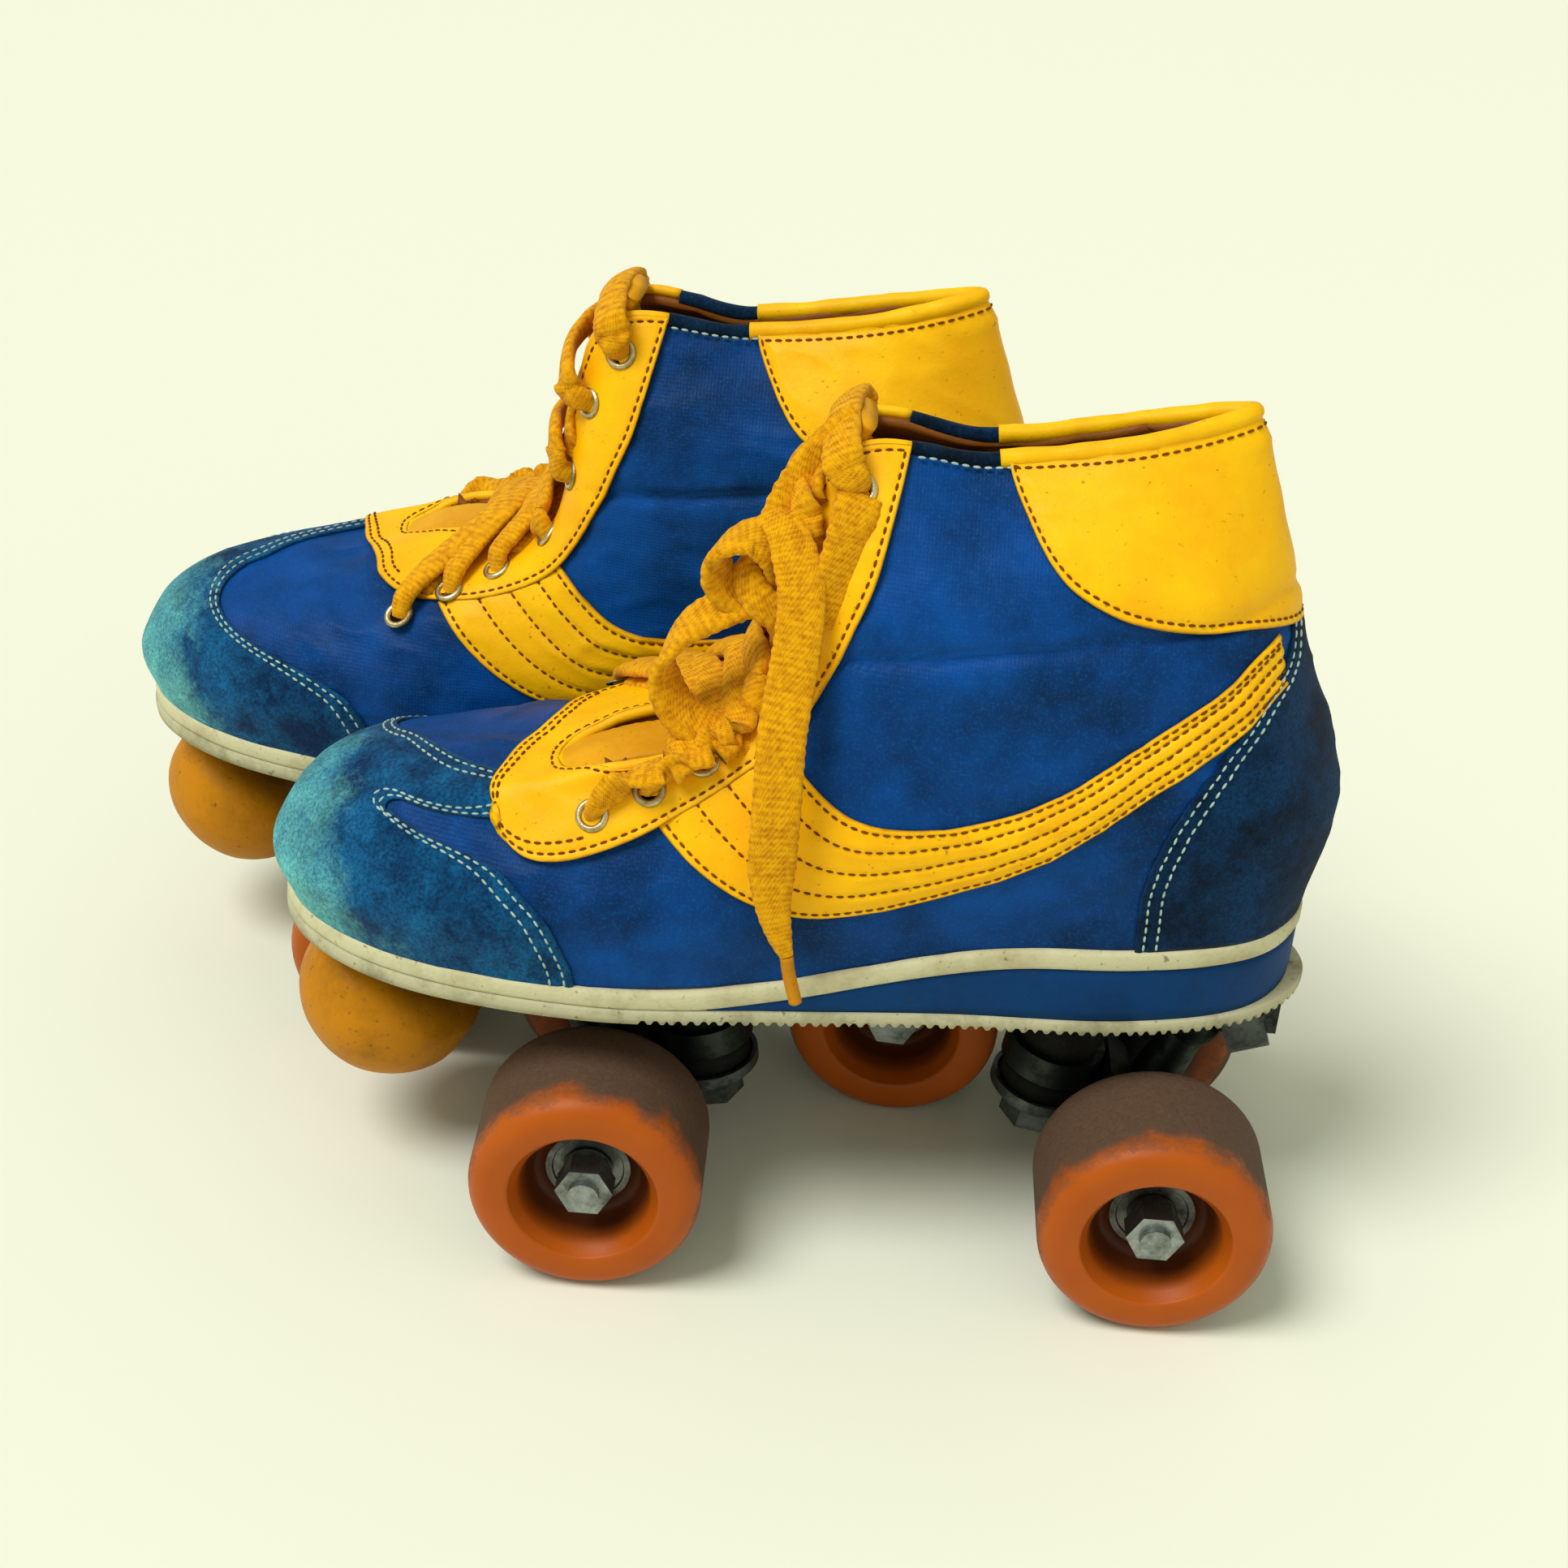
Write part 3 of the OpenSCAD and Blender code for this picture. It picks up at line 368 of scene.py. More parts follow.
def folds(p):  # how far the padded nylon swells or sinks, in millimetres
    flat = p.reshape(-1, 3)
    out = np.empty(len(flat))
    for i, (x, y, z) in enumerate(flat):
        soft = noise.noise(Vector((x / 24, y / 24, z / 13)))
        ridge = 1 - abs(noise.noise(Vector((x / 17 + 9, y / 17, z / 8 + x / 40))))
        out[i] = cloth["soft"] * soft + cloth["crease"] * (ridge ** 4 - 0.5)
    x, z = flat[:, 0], flat[:, 2]
    ankle = ease((x + 40) / 15) * ease((z - 112) / 14)
    vamp = ease((-48 - x) / 10) * ease((x + 112) / 14) * ease((z - 98) / 10)
    out *= 0.35 + 0.65 * ankle + 0.9 * vamp
    gap = z - (171 + (x + 18) / 7)
    side = ease((x + 30) / 12)
    puff = cloth["seamPuff"] * np.exp(-((np.abs(gap) - 8) / 6) ** 2)
    out += side * (puff - cloth["seamDip"] * np.exp(-(gap / 1.3) ** 2))
    return out.reshape(p.shape[:-1])


def surface(u, v, lift, share=1.0):
    p = skin(u, v)
    return p + outward(u, v) * (lift + share * folds(p))[..., None]


# ---- mesh helpers


def gridInto(bm, nx, ny, place, uvSize=(1, 1), join=False):
    uvLayer = bm.loops.layers.uv.get("cloth") or bm.loops.layers.uv.new("cloth")
    made = bmesh.ops.create_grid(bm, x_segments=nx, y_segments=ny, size=1)["verts"]
    st = np.array([v.co[:2] for v in made]) / 2 + 0.5
    faces = {f for v in made for f in v.link_faces}
    for f in faces:
        for loop in f.loops:
            s, t = loop.vert.co.x / 2, loop.vert.co.y / 2 + 0.5
            loop[uvLayer].uv = (s * uvSize[0] * mm, t * uvSize[1] * mm)
    for v, p in zip(made, place(st[:, 0], st[:, 1])):
        v.co = Vector(p) * mm
    if join:
        bmesh.ops.remove_doubles(bm, verts=made, dist=0.00002)
    return made, st


def toObject(bm, name, mats):
    mesh = bpy.data.meshes.new(name)
    bm.to_mesh(mesh)
    bm.free()
    obj = bpy.data.objects.new(name, mesh)
    bpy.context.scene.collection.objects.link(obj)
    for mat in mats:
        mesh.materials.append(mat)
    mesh.shade_smooth()
    return obj


def applyModifiers(obj):
    graph = bpy.context.evaluated_depsgraph_get()
    mesh = bpy.data.meshes.new_from_object(obj.evaluated_get(graph))
    obj.modifiers.clear()
    obj.data = mesh
    return obj


def thicken(obj, thickness, innerSlot=0):
    wall = obj.modifiers.new("wall", "SOLIDIFY")
    wall.thickness = thickness * mm
    wall.offset = -1
    wall.material_offset = innerSlot
    wall.material_offset_rim = innerSlot
    return applyModifiers(obj)


def spun(name, profile, mats, steps=96):  # profile points are (radius, height), turned about Z
    bm = bmesh.new()
    verts = [bm.verts.new((r * mm, 0, h * mm)) for r, h in profile]
    edges = [bm.edges.new(pair) for pair in zip(verts, verts[1:])]
    if profile[0][0] > 0:
        edges.append(bm.edges.new((verts[-1], verts[0])))
    bmesh.ops.spin(bm, geom=verts + edges, cent=(0, 0, 0), axis=(0, 0, 1), angle=math.tau, steps=steps, use_merge=True)
    bmesh.ops.remove_doubles(bm, verts=bm.verts, dist=0.00001)
    bmesh.ops.recalc_face_normals(bm, faces=bm.faces)
    return toObject(bm, name, mats)


def paint(obj, name, values):
    layer = obj.data.attributes.new(name, "FLOAT", "POINT")
    layer.data.foreach_set("value", np.asarray(values, np.float32))


def coords(obj):
    out = np.empty(len(obj.data.vertices) * 3)
    obj.data.vertices.foreach_get("co", out)
    return out.reshape(-1, 3) / mm


def middle(*nodes):
    corners = [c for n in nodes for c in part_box(n)]
    return sum(corners, Vector()) / len(corners)


rightFront = middle("right_front_outer_wheel", "right_front_inner_wheel")
rightRear = middle("right_rear_outer_wheel", "right_rear_inner_wheel")
along = rightRear - rightFront
rightPlace = (rightFront + rightRear) / 2
toRight = Matrix.Translation((rightPlace.x, rightPlace.y, 0)) @ Matrix.Rotation(math.atan2(along.y, along.x), 4, "Z")
toRight = toRight @ Matrix.Diagonal((1, -1, 1, 1))


def settle(obj, nodes=(), body="skate", both=True):  # rides on the left skate, and a mirrored copy on the right
    obj.name = "left_" + obj.name
    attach(obj, "left_" + body)
    if nodes:
        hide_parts(*["left_" + n for n in nodes])
    if not both:
        return [obj]
    mesh = obj.data.copy()
    mesh.transform(toRight)
    mesh.flip_normals()
    copy = bpy.data.objects.new(obj.name.replace("left_", "right_"), mesh)
    bpy.context.scene.collection.objects.link(copy)
    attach(copy, "right_" + body)
    if nodes:
        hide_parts(*["right_" + n for n in nodes])
    return [obj, copy]


# ---- the loose lace end, with its braid and its plastic tip

laceEnd = {
    "route": [(-38, -12, 201), (-34, -17, 199), (-31, -22, 194), (-29, -27, 187), (-29, -32, 178), (-30, -37, 168),
              (-31, -43, 158), (-31, -47, 147), (-31, -50, 136), (-31, -51, 126), (-30, -52, 116), (-28, -52, 108),
              (-26, -51.5, 102)],
    "tip": [(-26, -51.5, 101.8), (-25, -51, 96), (-23, -50.5, 88)],
    "width": 12, "thickness": 2.0, "tipWidth": 3.4, "across": (1, 0.25, 0.1),
}


def smoothRoute(points, steps):
    pts = np.array(points, float)
    last = len(pts) - 1
    out = [curve(pts[max(0, i - 1)], pts[i], pts[i + 1], pts[min(last, i + 2)], j / steps)
           for i in range(last) for j in range(steps)]
    return np.array(out + [pts[last]])


def runLength(points):
    return np.concatenate([[0], np.cumsum(np.linalg.norm(np.diff(points, axis=0), axis=1))])


def ribbonInto(bm, route, width, thickness, across, around=16, steps=8, boxy=0.75, wobble=0.0):
    line = smoothRoute(route, steps)
    run = runLength(line)
    tangent = unit(np.gradient(line, axis=0))
    wide = np.broadcast_to(np.asarray(across, float), line.shape)
    b = unit(wide - np.sum(wide * tangent, axis=1)[:, None] * tangent)
    c = np.cross(tangent, b)
    share = run / run[-1]
    w = np.interp(share, *zip(*width)) if hasattr(width, "__len__") else np.full(len(run), float(width))
    rows = len(line) - 1

    def place(s, t):
        i = np.rint(t * rows).astype(int)
        angle = s * math.tau
        cs, sn = np.cos(angle), np.sin(angle)
        flatCos = np.sign(cs) * np.abs(cs) ** boxy
        flatSin = np.sign(sn) * np.abs(sn) ** boxy
        edge = 1 + wobble * np.sin(run[i] * 2.1 + cs)
        return line[i] + b[i] * (w[i] / 2 * flatCos * edge)[:, None] + c[i] * (thickness / 2 * flatSin)[:, None]

    gridInto(bm, around, rows, place, (2 * (w.max() + thickness), run[-1]), join=True)


def closeHoles(bm):
    bmesh.ops.holes_fill(bm, edges=[e for e in bm.edges if e.is_boundary], sides=0)
    bmesh.ops.recalc_face_normals(bm, faces=bm.faces)


def makeLaceEnd():
    bm = bmesh.new()
    wide = laceEnd["width"]
    taper = [(0, 9), (0.12, 11.5), (0.5, wide), (0.78, wide), (0.95, 6), (1, laceEnd["tipWidth"])]
    ribbonInto(bm, laceEnd["route"], taper, laceEnd["thickness"], laceEnd["across"], steps=10, wobble=0.03)
    closeHoles(bm)
    lace = toObject(bm, "lace_end", [laceCotton])
    bm = bmesh.new()
    ribbonInto(bm, laceEnd["tip"], laceEnd["tipWidth"], laceEnd["tipWidth"], (1, 0, 0), boxy=1.0)
    closeHoles(bm)
    tip = toObject(bm, "lace_aglet", [lacePlastic])
    settle(lace, ["lace_end"], both=False)
    settle(tip, ["lace_aglet"], both=False)


makeLaceEnd()
print("lace end laid")

# ---- upper: padded nylon over a brown lining


def makeShell():
    nu, nv = 288, 84
    bm = bmesh.new()
    gridInto(bm, nu, nv, lambda s, t: surface(s * keyCount, t * 3, 0.0), join=True)
    bm.normal_update()
    shell = toObject(bm, "padded_upper", [nylon, brownLining])
    probe = shell.data.polygons[0]
    centre = np.array(probe.center) / mm - np.array([-30, 0, 120])
    if np.dot(centre, np.array(probe.normal)) < 0:
        shell.data.flip_normals()
    thicken(shell, boot["wall"], 1)
    for piece in settle(shell, ["outer_quarter", "inner_quarter"]):
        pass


makeShell()
print("padded upper made")

# ---- leather and suede pieces sewn on the upper

def mirrored(line, about):
    return [(2 * about - u, v) for u, v in reversed(line)]


def lineOn(points):  # an even walk along a smooth line through these places on the boot
    dense = smoothRoute(points, 12)
    for _ in range(6):
        dense[1:-1] = (dense[:-2] + 2 * dense[1:-1] + dense[2:]) / 4
    run = runLength(skin(dense[:, 0], dense[:, 1]))
    share = run / run[-1]
    return lambda s: np.stack([np.interp(s, share, dense[:, k]) for k in (0, 1)], -1)


edgeSteps = np.array([0, 0.35, 0.8, 1.3, 1.8, 2.3, 2.9, 3.6])


def widths(low, high, s):
    t = np.linspace(0, 1, 25)
    a, b = low(s), high(s)
    uv = a[:, None] + (b - a)[:, None] * t[None, :, None]
    p = skin(uv[..., 0], uv[..., 1])
    return np.maximum(np.linalg.norm(np.diff(p, axis=1), axis=2).sum(1), 0.05)


def profile(d, piece):  # height of a sewn piece over the nylon, d millimetres in from its edge
    rise = piece["lift"] - 0.3 + 0.3 * ease(d / 0.8) + piece.get("puff", 0) * ease((d - 2) / 5)
    return rise - 0.32 * np.exp(-((d - 1.9) / 0.45) ** 2)


def channelDip(t, width, piece):
    dip = np.zeros_like(t)
    for share in piece.get("channels", ()):
        dip += 0.55 * np.exp(-((t - share) * width / 0.7) ** 2)
    return dip


def sewnPiece(piece, low, high, mat, rubbed=False):
    rows, mids = piece["rows"], piece["mids"]
    s = np.linspace(0, 1, rows + 1)
    w = widths(low, high, s)
    n = len(edgeSteps)
    shrink = np.minimum(1, 0.4 * w / edgeSteps[-1])
    near = edgeSteps[None, :] * (shrink / w)[:, None]
    inner = np.linspace(0, 1, mids + 2)[1:-1][None, :] * (1 - 2 * near[:, -1:]) + near[:, -1:]
    t = np.concatenate([near, inner, 1 - near[:, ::-1]], axis=1)
    cols = 2 * n + mids - 1
    a, b = low(s), high(s)
    uv = a[:, None] + (b - a)[:, None] * t[..., None]
    d = np.minimum(t, 1 - t) * w[:, None]
    lift = profile(d, piece) - channelDip(t, w[:, None], piece)
    points = surface(uv[..., 0], uv[..., 1], lift, piece.get("cling", 0.8))
    bm = bmesh.new()
    layer = bm.verts.layers.float.new("edgeMm")
    rub = bm.verts.layers.float.new("rubMm")
    made, st = gridInto(bm, cols, rows, lambda x, y: points[np.rint(y * rows).astype(int),
                                                            np.rint(x * cols).astype(int)],
                        (w.mean(), 200))
    col, row = np.rint(st[:, 0] * cols).astype(int), np.rint(st[:, 1] * rows).astype(int)
    for v, dist in zip(made, d[row, col]):
        v[layer] = dist
        if rubbed:
            x, z = v.co.x / mm, v.co.z / mm
            v[rub] = 0.55 * float(ease((-118 - x) / 38)) + 0.22 * float(ease((104 - z) / 16) * ease((-95 - x) / 20))
    bm.faces.ensure_lookup_table()
    half = bm.faces[len(bm.faces) // 2]
    half.normal_update()
    k = np.argmin(np.linalg.norm(points.reshape(-1, 3) * mm - np.array(half.calc_center_median()), axis=1))
    facing = outward(uv[..., 0], uv[..., 1]).reshape(-1, 3)[k]
    if np.dot(np.array(half.normal), facing) < 0:
        bmesh.ops.reverse_faces(bm, faces=bm.faces)
    obj = toObject(bm, piece["name"], [mat])
    thicken(obj, piece["thickness"])
    settle(obj)
    return low, high, piece


def seamAt(sewn, offset=None, share=None, fromHigh=False, span=(0, 1)):
    low, high, piece = sewn
    s = np.linspace(span[0], span[1], 260)
    w = widths(low, high, s)
    if share is None:
        t = np.minimum(offset / w, 0.5)
        t = 1 - t if fromHigh else t
    else:
        t = np.full_like(w, share)
    a, b = low(s), high(s)
    uv = a + (b - a) * t[:, None]
    d = np.minimum(t, 1 - t) * w
    lift = profile(d, piece) - channelDip(t, w, piece) + 0.12
    keep = w > 3.2
    return surface(uv[:, 0], uv[:, 1], lift, piece.get("cling", 0.8))[keep]


thread = {"pitch": 2.7, "length": 2.0, "radius": 0.42}


def stitchInto(bm, points, size=1.0):
    run = runLength(points)
    spots = np.arange(thread["pitch"] / 2, run[-1], thread["pitch"])
    for block in np.array_split(spots, max(1, len(spots) // 12)):  # few at a time: operators slow down on big meshes
        few = bmesh.new()
        for at in block:
            p, q = [np.array([np.interp(at + step, run, points[:, k]) for k in range(3)]) for step in (0, 0.5)]
            turn = Vector(q - p).to_track_quat("Z", "Y").to_matrix().to_4x4()
            r = thread["radius"] * size
            shape = Matrix.Diagonal((r * mm, r * mm, thread["length"] / 2 * mm, 1))
            bmesh.ops.create_uvsphere(few, u_segments=6, v_segments=4, radius=1,
                                      matrix=Matrix.Translation(Vector(p) * mm) @ turn @ shape)
        mesh = bpy.data.meshes.new("beads")
        few.to_mesh(mesh)
        few.free()
        bm.from_mesh(mesh)
        bpy.data.meshes.remove(mesh)


# outlines are places on the boot: round the foot in outline points, then up from 0 to 3
stripe = {"name": "side_stripe", "rows": 110, "mids": 26, "lift": 1.15, "thickness": 1.1, "puff": 0.5,
          "channels": (0.3, 0.55, 0.78),
          "upper": [(4.05, 2.25), (4.11, 2.09), (4.39, 1.49), (4.68, 1.17), (5.07, 1), (5.49, 1.01), (5.93, 1.18),
                    (6.44, 1.42), (7.45, 1.89)],
          "lower": [(3.1, 2.1), (3.25, 1.88), (3.58, 1.3), (3.93, 0.89), (4.33, 0.63), (4.83, 0.5), (5.42, 0.61),
                    (6.1, 0.98), (6.63, 1.26), (7.35, 1.6)]}
toeCap = {"name": "toe_cap", "rows": 110, "mids": 70, "lift": 1.1, "thickness": 1.1, "cling": 0.5,
          "outer": [(2.93, 0), (2.91, 0.34), (2.82, 0.86), (2.68, 1.15), (2.5, 1.43), (2.27, 1.61), (1.99, 1.73),
                    (1.59, 1.86), (1.38, 1.9), (1.24, 1.96), (1.19, 2.03), (1.26, 2.08), (1.43, 2.09), (1.79, 2.07),
                    (2.15, 2.05), (2.35, 2.12)],
          "inner": [(0.95, 2.78), (0.62, 2.68), (0.35, 2.57), (0, 2.45), (-0.3, 2.34), (-0.42, 2.24), (-0.6, 2.14),
                    (-0.95, 2), (-1.4, 1.85), (-1.9, 1.66), (-2.3, 1.45), (-2.6, 1.18), (-2.8, 0.86), (-2.91, 0.34),
                    (-2.93, 0)]}
heelCounter = {"name": "heel_counter", "rows": 70, "mids": 40, "lift": 1.15, "thickness": 1.2, "cling": 0.5,
               "edge": [(6, 0), (6.04, 0.18), (6.1, 0.46), (6.28, 0.82), (6.58, 1.17), (6.93, 1.42), (7.26, 1.62),
                        (7.55, 1.82), (7.72, 2.12)]}
collar = {"name": "gold_collar", "rows": 150, "mids": 26, "lift": 1.6, "thickness": 1.3, "puff": 0.7, "cling": 0.4,
          "edge": [(6.09, 3), (6.03, 2.77), (5.99, 2.37), (6.04, 2.13), (6.2, 1.98), (6.41, 1.9), (6.76, 1.87),
                   (7.21, 1.9), (7.7, 1.95)], "back": (8, 1.97)}
eyestay = {"name": "eyestay", "rows": 220, "mids": 18, "lift": 2.1, "thickness": 1.3, "cling": 0.3,
           "outer": [(5.5, 3), (5.32, 2.68), (5.06, 2.28), (4.87, 2.11), (4.64, 1.99), (4.3, 1.92), (4.02, 1.92),
                     (3.82, 1.9), (3.47, 1.79), (3.23, 1.67), (3.01, 1.58), (2.84, 1.53), (2.68, 1.54), (2.55, 1.62),
                     (2.42, 1.77), (2.3, 1.94), (2.01, 2.25), (1.34, 2.56), (0.46, 2.75)],
           "inner": [(-0.5, 2.8), (-1.16, 2.78), (-1.8, 2.66), (-2.3, 2.45), (-2.8, 2.22), (-3.2, 2.08), (-3.6, 1.98),
                     (-4.02, 1.92), (-4.3, 1.92), (-4.64, 1.99), (-4.87, 2.11), (-5.06, 2.28), (-5.32, 2.68),
                     (-5.5, 3)]}


def sewOn():
    stripes = []
    for flip in (False, True):
        upper, lower = stripe["upper"], stripe["lower"]
        if flip:
            upper, lower = [[(keyCount - u, v) for u, v in line] for line in (upper, lower)]
        one = dict(stripe, name=stripe["name"] + ("_inner" if flip else "_outer"))
        stripes.append(sewnPiece(one, lineOn(lower), lineOn(upper), goldLeather))
    cap = sewnPiece(toeCap, lineOn(toeCap["outer"]), lineOn(toeCap["inner"][::-1]), toeSuede, rubbed=True)
    edge = heelCounter["edge"]
    farEdge = [(keyCount - u, v) for u, v in edge]
    counter = sewnPiece(heelCounter, lineOn(edge), lineOn(farEdge), heelSuede)
    half = collar["edge"]
    frontU = half[0][0]
    low = lineOn(half + [collar["back"]] + mirrored(half, 8))
    rim = lineOn([(u, 3.0) for u in np.linspace(frontU, keyCount - frontU, 24)])
    ring = sewnPiece(collar, low, rim, goldLeather)
    topU = eyestay["outer"][0][0]
    throat = lineOn([(u, 3.0) for u in np.linspace(topU, -topU, 45)])
    stay = sewnPiece(eyestay, lineOn(eyestay["outer"] + eyestay["inner"]), throat, goldLeather)
    return stripes, cap, counter, ring, stay, frontU, topU


stripes, cap, counter, ring, stay, collarU, stayU = sewOn()
print("leather and suede sewn on")


def makeStitching():
    brown, cream = bmesh.new(), bmesh.new()
    for one in stripes:
        stitchInto(brown, seamAt(one, 1.9))
        stitchInto(brown, seamAt(one, 1.9, fromHigh=True))
        for share in stripe["channels"]:
            stitchInto(brown, seamAt(one, share=share))
    stitchInto(brown, seamAt(stay, 1.9))
    stitchInto(brown, seamAt(stay, 1.9, fromHigh=True))
    stitchInto(brown, seamAt(stay, 4.6, span=(0.38, 0.62)))
    stitchInto(brown, seamAt(ring, 1.9))
    stitchInto(brown, seamAt(ring, 3.2, fromHigh=True))
    for one in (cap, counter):
        for high in (False, True):
            for offset in (1.6, 4.2):
                stitchInto(cream, seamAt(one, offset, fromHigh=high), 0.85)
    for low, high in ((stayU, collarU), (keyCount - collarU, keyCount - stayU)):
        u = np.linspace(low, high, 60)
        stitchInto(cream, surface(u, np.full_like(u, 2.93), 1.3), 0.9)
    settle(toObject(brown, "brown_stitching", [brownThread]))
    settle(toObject(cream, "cream_stitching", [creamThread]))


makeStitching()
print("stitching done")

# ---- rolled bindings round the collar and the throat

binding = {"collar": 2.4, "tape": 1.9, "throat": 1.5, "soilFree": 1.0}


def rollInto(bm, first, last, radius, lift, steps):
    u = np.linspace(first, last, steps + 1)
    line = surface(u, np.full_like(u, 3.0), lift - radius * 0.35, 0.4)
    tangent = unit(np.gradient(line, axis=0))
    side = unit(np.cross(tangent, (0, 0, 1.0)))
    rise = np.cross(side, tangent)
    ragged = np.array([noise.noise(Vector(p) * 0.12) for p in line])

    def place(s, t):
        i = np.rint(t * steps).astype(int)
        r = (radius * (1 + 0.12 * ragged[i]))[:, None]
        return line[i] + side[i] * r * np.cos(s * math.tau)[:, None] + rise[i] * r * np.sin(s * math.tau)[:, None]

    gridInto(bm, 12, steps, place, join=True)


def sewBinding(bm, name, mat):
    obj = toObject(bm, name, [mat])
    paint(obj, "edgeMm", np.full(len(obj.data.vertices), binding["soilFree"]))
    settle(obj)


def makeBindings():
    bm = bmesh.new()
    rollInto(bm, collarU - 0.05, keyCount - collarU + 0.05, binding["collar"], 0.6, 160)
    closeHoles(bm)
    sewBinding(bm, "collar_binding", bindingLeather)
    bm = bmesh.new()
    rollInto(bm, -stayU, stayU, binding["throat"], 0.9, 220)
    closeHoles(bm)
    sewBinding(bm, "throat_binding", bindingLeather)
    bm = bmesh.new()
    for low, high in ((stayU, collarU), (keyCount - collarU, keyCount - stayU)):
        rollInto(bm, low, high, binding["tape"], 0.3, 30)
    closeHoles(bm)
    settle(toObject(bm, "ankle_tape", [navyTape]))


makeBindings()

# ---- tongue, eyelets and lacing

tongue = {"width": 18, "thickness": 4.6, "top": [(-0.5, 0, 5), (0.5, 0, 9), (2, 0, 12)],
          "keys": [(0.5, 0.6), (1, 0.8), (1.6, 1), (2.2, 1.4), (2.7, 2.4), (3.1, 4), (3.5, 5.2), (4, 6), (4.3, 6),
                   (4.7, 6), (5, 6)]}  # place along the throat, depth below its edges
eyelets = {"spots": [(2.85, 2), (3.15, 2.2), (3.5, 2.35), (4, 2.5), (4.4, 2.6), (4.75, 2.7), (5.1, 2.77)],
           "outer": 4.3, "inner": 2.6, "seat": 2.0}
laces = {"width": 10, "thickness": 3.8, "knot": (-35, -13, 186)}


def throatMiddle(u, sink):
    a, b = skin(u, 3), skin(-u, 3)
    way = skin(u + 0.1, 3) - skin(u - 0.1, 3)
    up = unit(np.cross([0, -1, 0], [way[0], 0, way[2]]))
    return (a + b) / 2 - sink * up


def makeTongue():
    route = [throatMiddle(u, sink) for u, sink in tongue["keys"]]
    gap = [skin(u, 3) - skin(-u, 3) for u, _ in tongue["keys"]]
    route += [route[-1] + np.array(step) for step in tongue["top"]]
    gap += [gap[-1]] * len(tongue["top"])
    run = runLength(np.array(route))
    wide = [min(tongue["width"], float(np.linalg.norm(g)) + 1) for g in gap]
    bm = bmesh.new()
    ribbonInto(bm, route, list(zip(run / run[-1], wide)), tongue["thickness"], smoothRoute(gap, 8), around=28,
               boxy=0.6, wobble=0.02)
    closeHoles(bm)
    pad = toObject(bm, "tongue_pad", [tongueLeather])
    paint(pad, "edgeMm", np.full(len(pad.data.vertices), binding["soilFree"]))
    for piece in settle(pad, ["tongue"]):
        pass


def makeEyelets():
    bm = bmesh.new()
    r, h, seat = eyelets["outer"], eyelets["inner"], eyelets["seat"]
    section = [(r, 0), (r - 0.1, 0.45), (r - 0.6, 0.85), (r - 1.2, 0.9), (h, 0.5), (h - 0.2, -0.6), (h - 0.2, -1.4)]
    for key, level in eyelets["spots"]:
        for u in (key, -key):
            before = set(bm.verts)
            verts = [bm.verts.new((a * mm, 0, b * mm)) for a, b in section]
            edges = [bm.edges.new(pair) for pair in zip(verts, verts[1:])]
            bmesh.ops.spin(bm, geom=verts + edges, cent=(0, 0, 0), axis=(0, 0, 1), angle=math.tau, steps=24,
                           use_merge=True)
            made = [v for v in bm.verts if v not in before]
            base, face = surface(u, level, seat, 0.3), outward(u, level)
            turn = Vector(face).to_track_quat("Z", "Y").to_matrix().to_4x4()
            bmesh.ops.transform(bm, verts=made, matrix=Matrix.Translation(Vector(base) * mm) @ turn)
    # the caps that close each eyelet across its barrel take the near-black painted shade (slot 1)
    count = len(bm.faces)
    bmesh.ops.holes_fill(bm, edges=[e for e in bm.edges if e.is_boundary], sides=0)
    bm.faces.ensure_lookup_table()
    for face in bm.faces[count:]:
        face.material_index = 1
    bmesh.ops.recalc_face_normals(bm, faces=bm.faces)
    settle(toObject(bm, "eyelet_rings", [eyeletSteel, darkHole]), ["eyelets"])


def above(u, v, lift):
    return skin(u, v) + lift * outward(u, min(v, 2.95))


def rungRoute(key, level, slip):  # out of one eyelet, over the throat's edges and into the other
    halves = []
    for side in (1, -1):
        u = side * key
        way = unit(skin(u + 0.2 * side, 3) - skin(u - 0.2 * side, 3))
        halves.append([above(u, level, 0.8), above(u, level + (3 - level) * 0.16, 5), above(u, (level + 3) / 2, 6.2)
                       + side * slip * way, above(u, 3, 6.4) + side * slip * way])
    up = unit(outward(key, 2.95) + outward(-key, 2.95))
    return halves[0] + [(halves[0][3] + halves[1][3]) / 2 + 2.4 * up] + halves[1][::-1]


def rungsInto(bm):
    for i, (key, level) in enumerate(eyelets["spots"]):
        way = skin(key + 0.2, 3) - skin(key - 0.2, 3)
        size = laces["width"] * (1 + 0.06 * math.sin(i * 2.3))
        taper = [(0, 5), (0.05, 6.6), (0.15, size), (0.5, size - 1), (0.85, size), (0.95, 6.6), (1, 5)]
        ribbonInto(bm, rungRoute(key, level, 1.6 if i % 2 else -1.2), taper, laces["thickness"], way, around=18,
                   steps=8, boxy=0.9, wobble=0.04)


def crossings(bm):  # strands that run slantwise from one rung to the next, just under them
    spots = eyelets["spots"]
    for i, ((u0, v0), (u1, v1)) in enumerate(zip(spots, spots[1:])):
        side = 1 if i % 2 else -1
        up = unit(outward(u0, 2.95) + outward(-u0, 2.95))
        a, b = above(side * u0, v0 + 0.25, 2), above(-side * u1, v1 + 0.2, 2)
        c, d = above(side * (u0 + 0.08), 3, 2.6), above(-side * (u1 - 0.08), 3, 2.6)
        ribbonInto(bm, [a, c, (c + d) / 2 + 0.6 * up, d, b], laces["width"] - 1.5, laces["thickness"] - 0.6,
                   unit(skin(u0 + 0.2, 3) - skin(u0 - 0.2, 3)), around=16, steps=8, boxy=0.85, wobble=0.07)


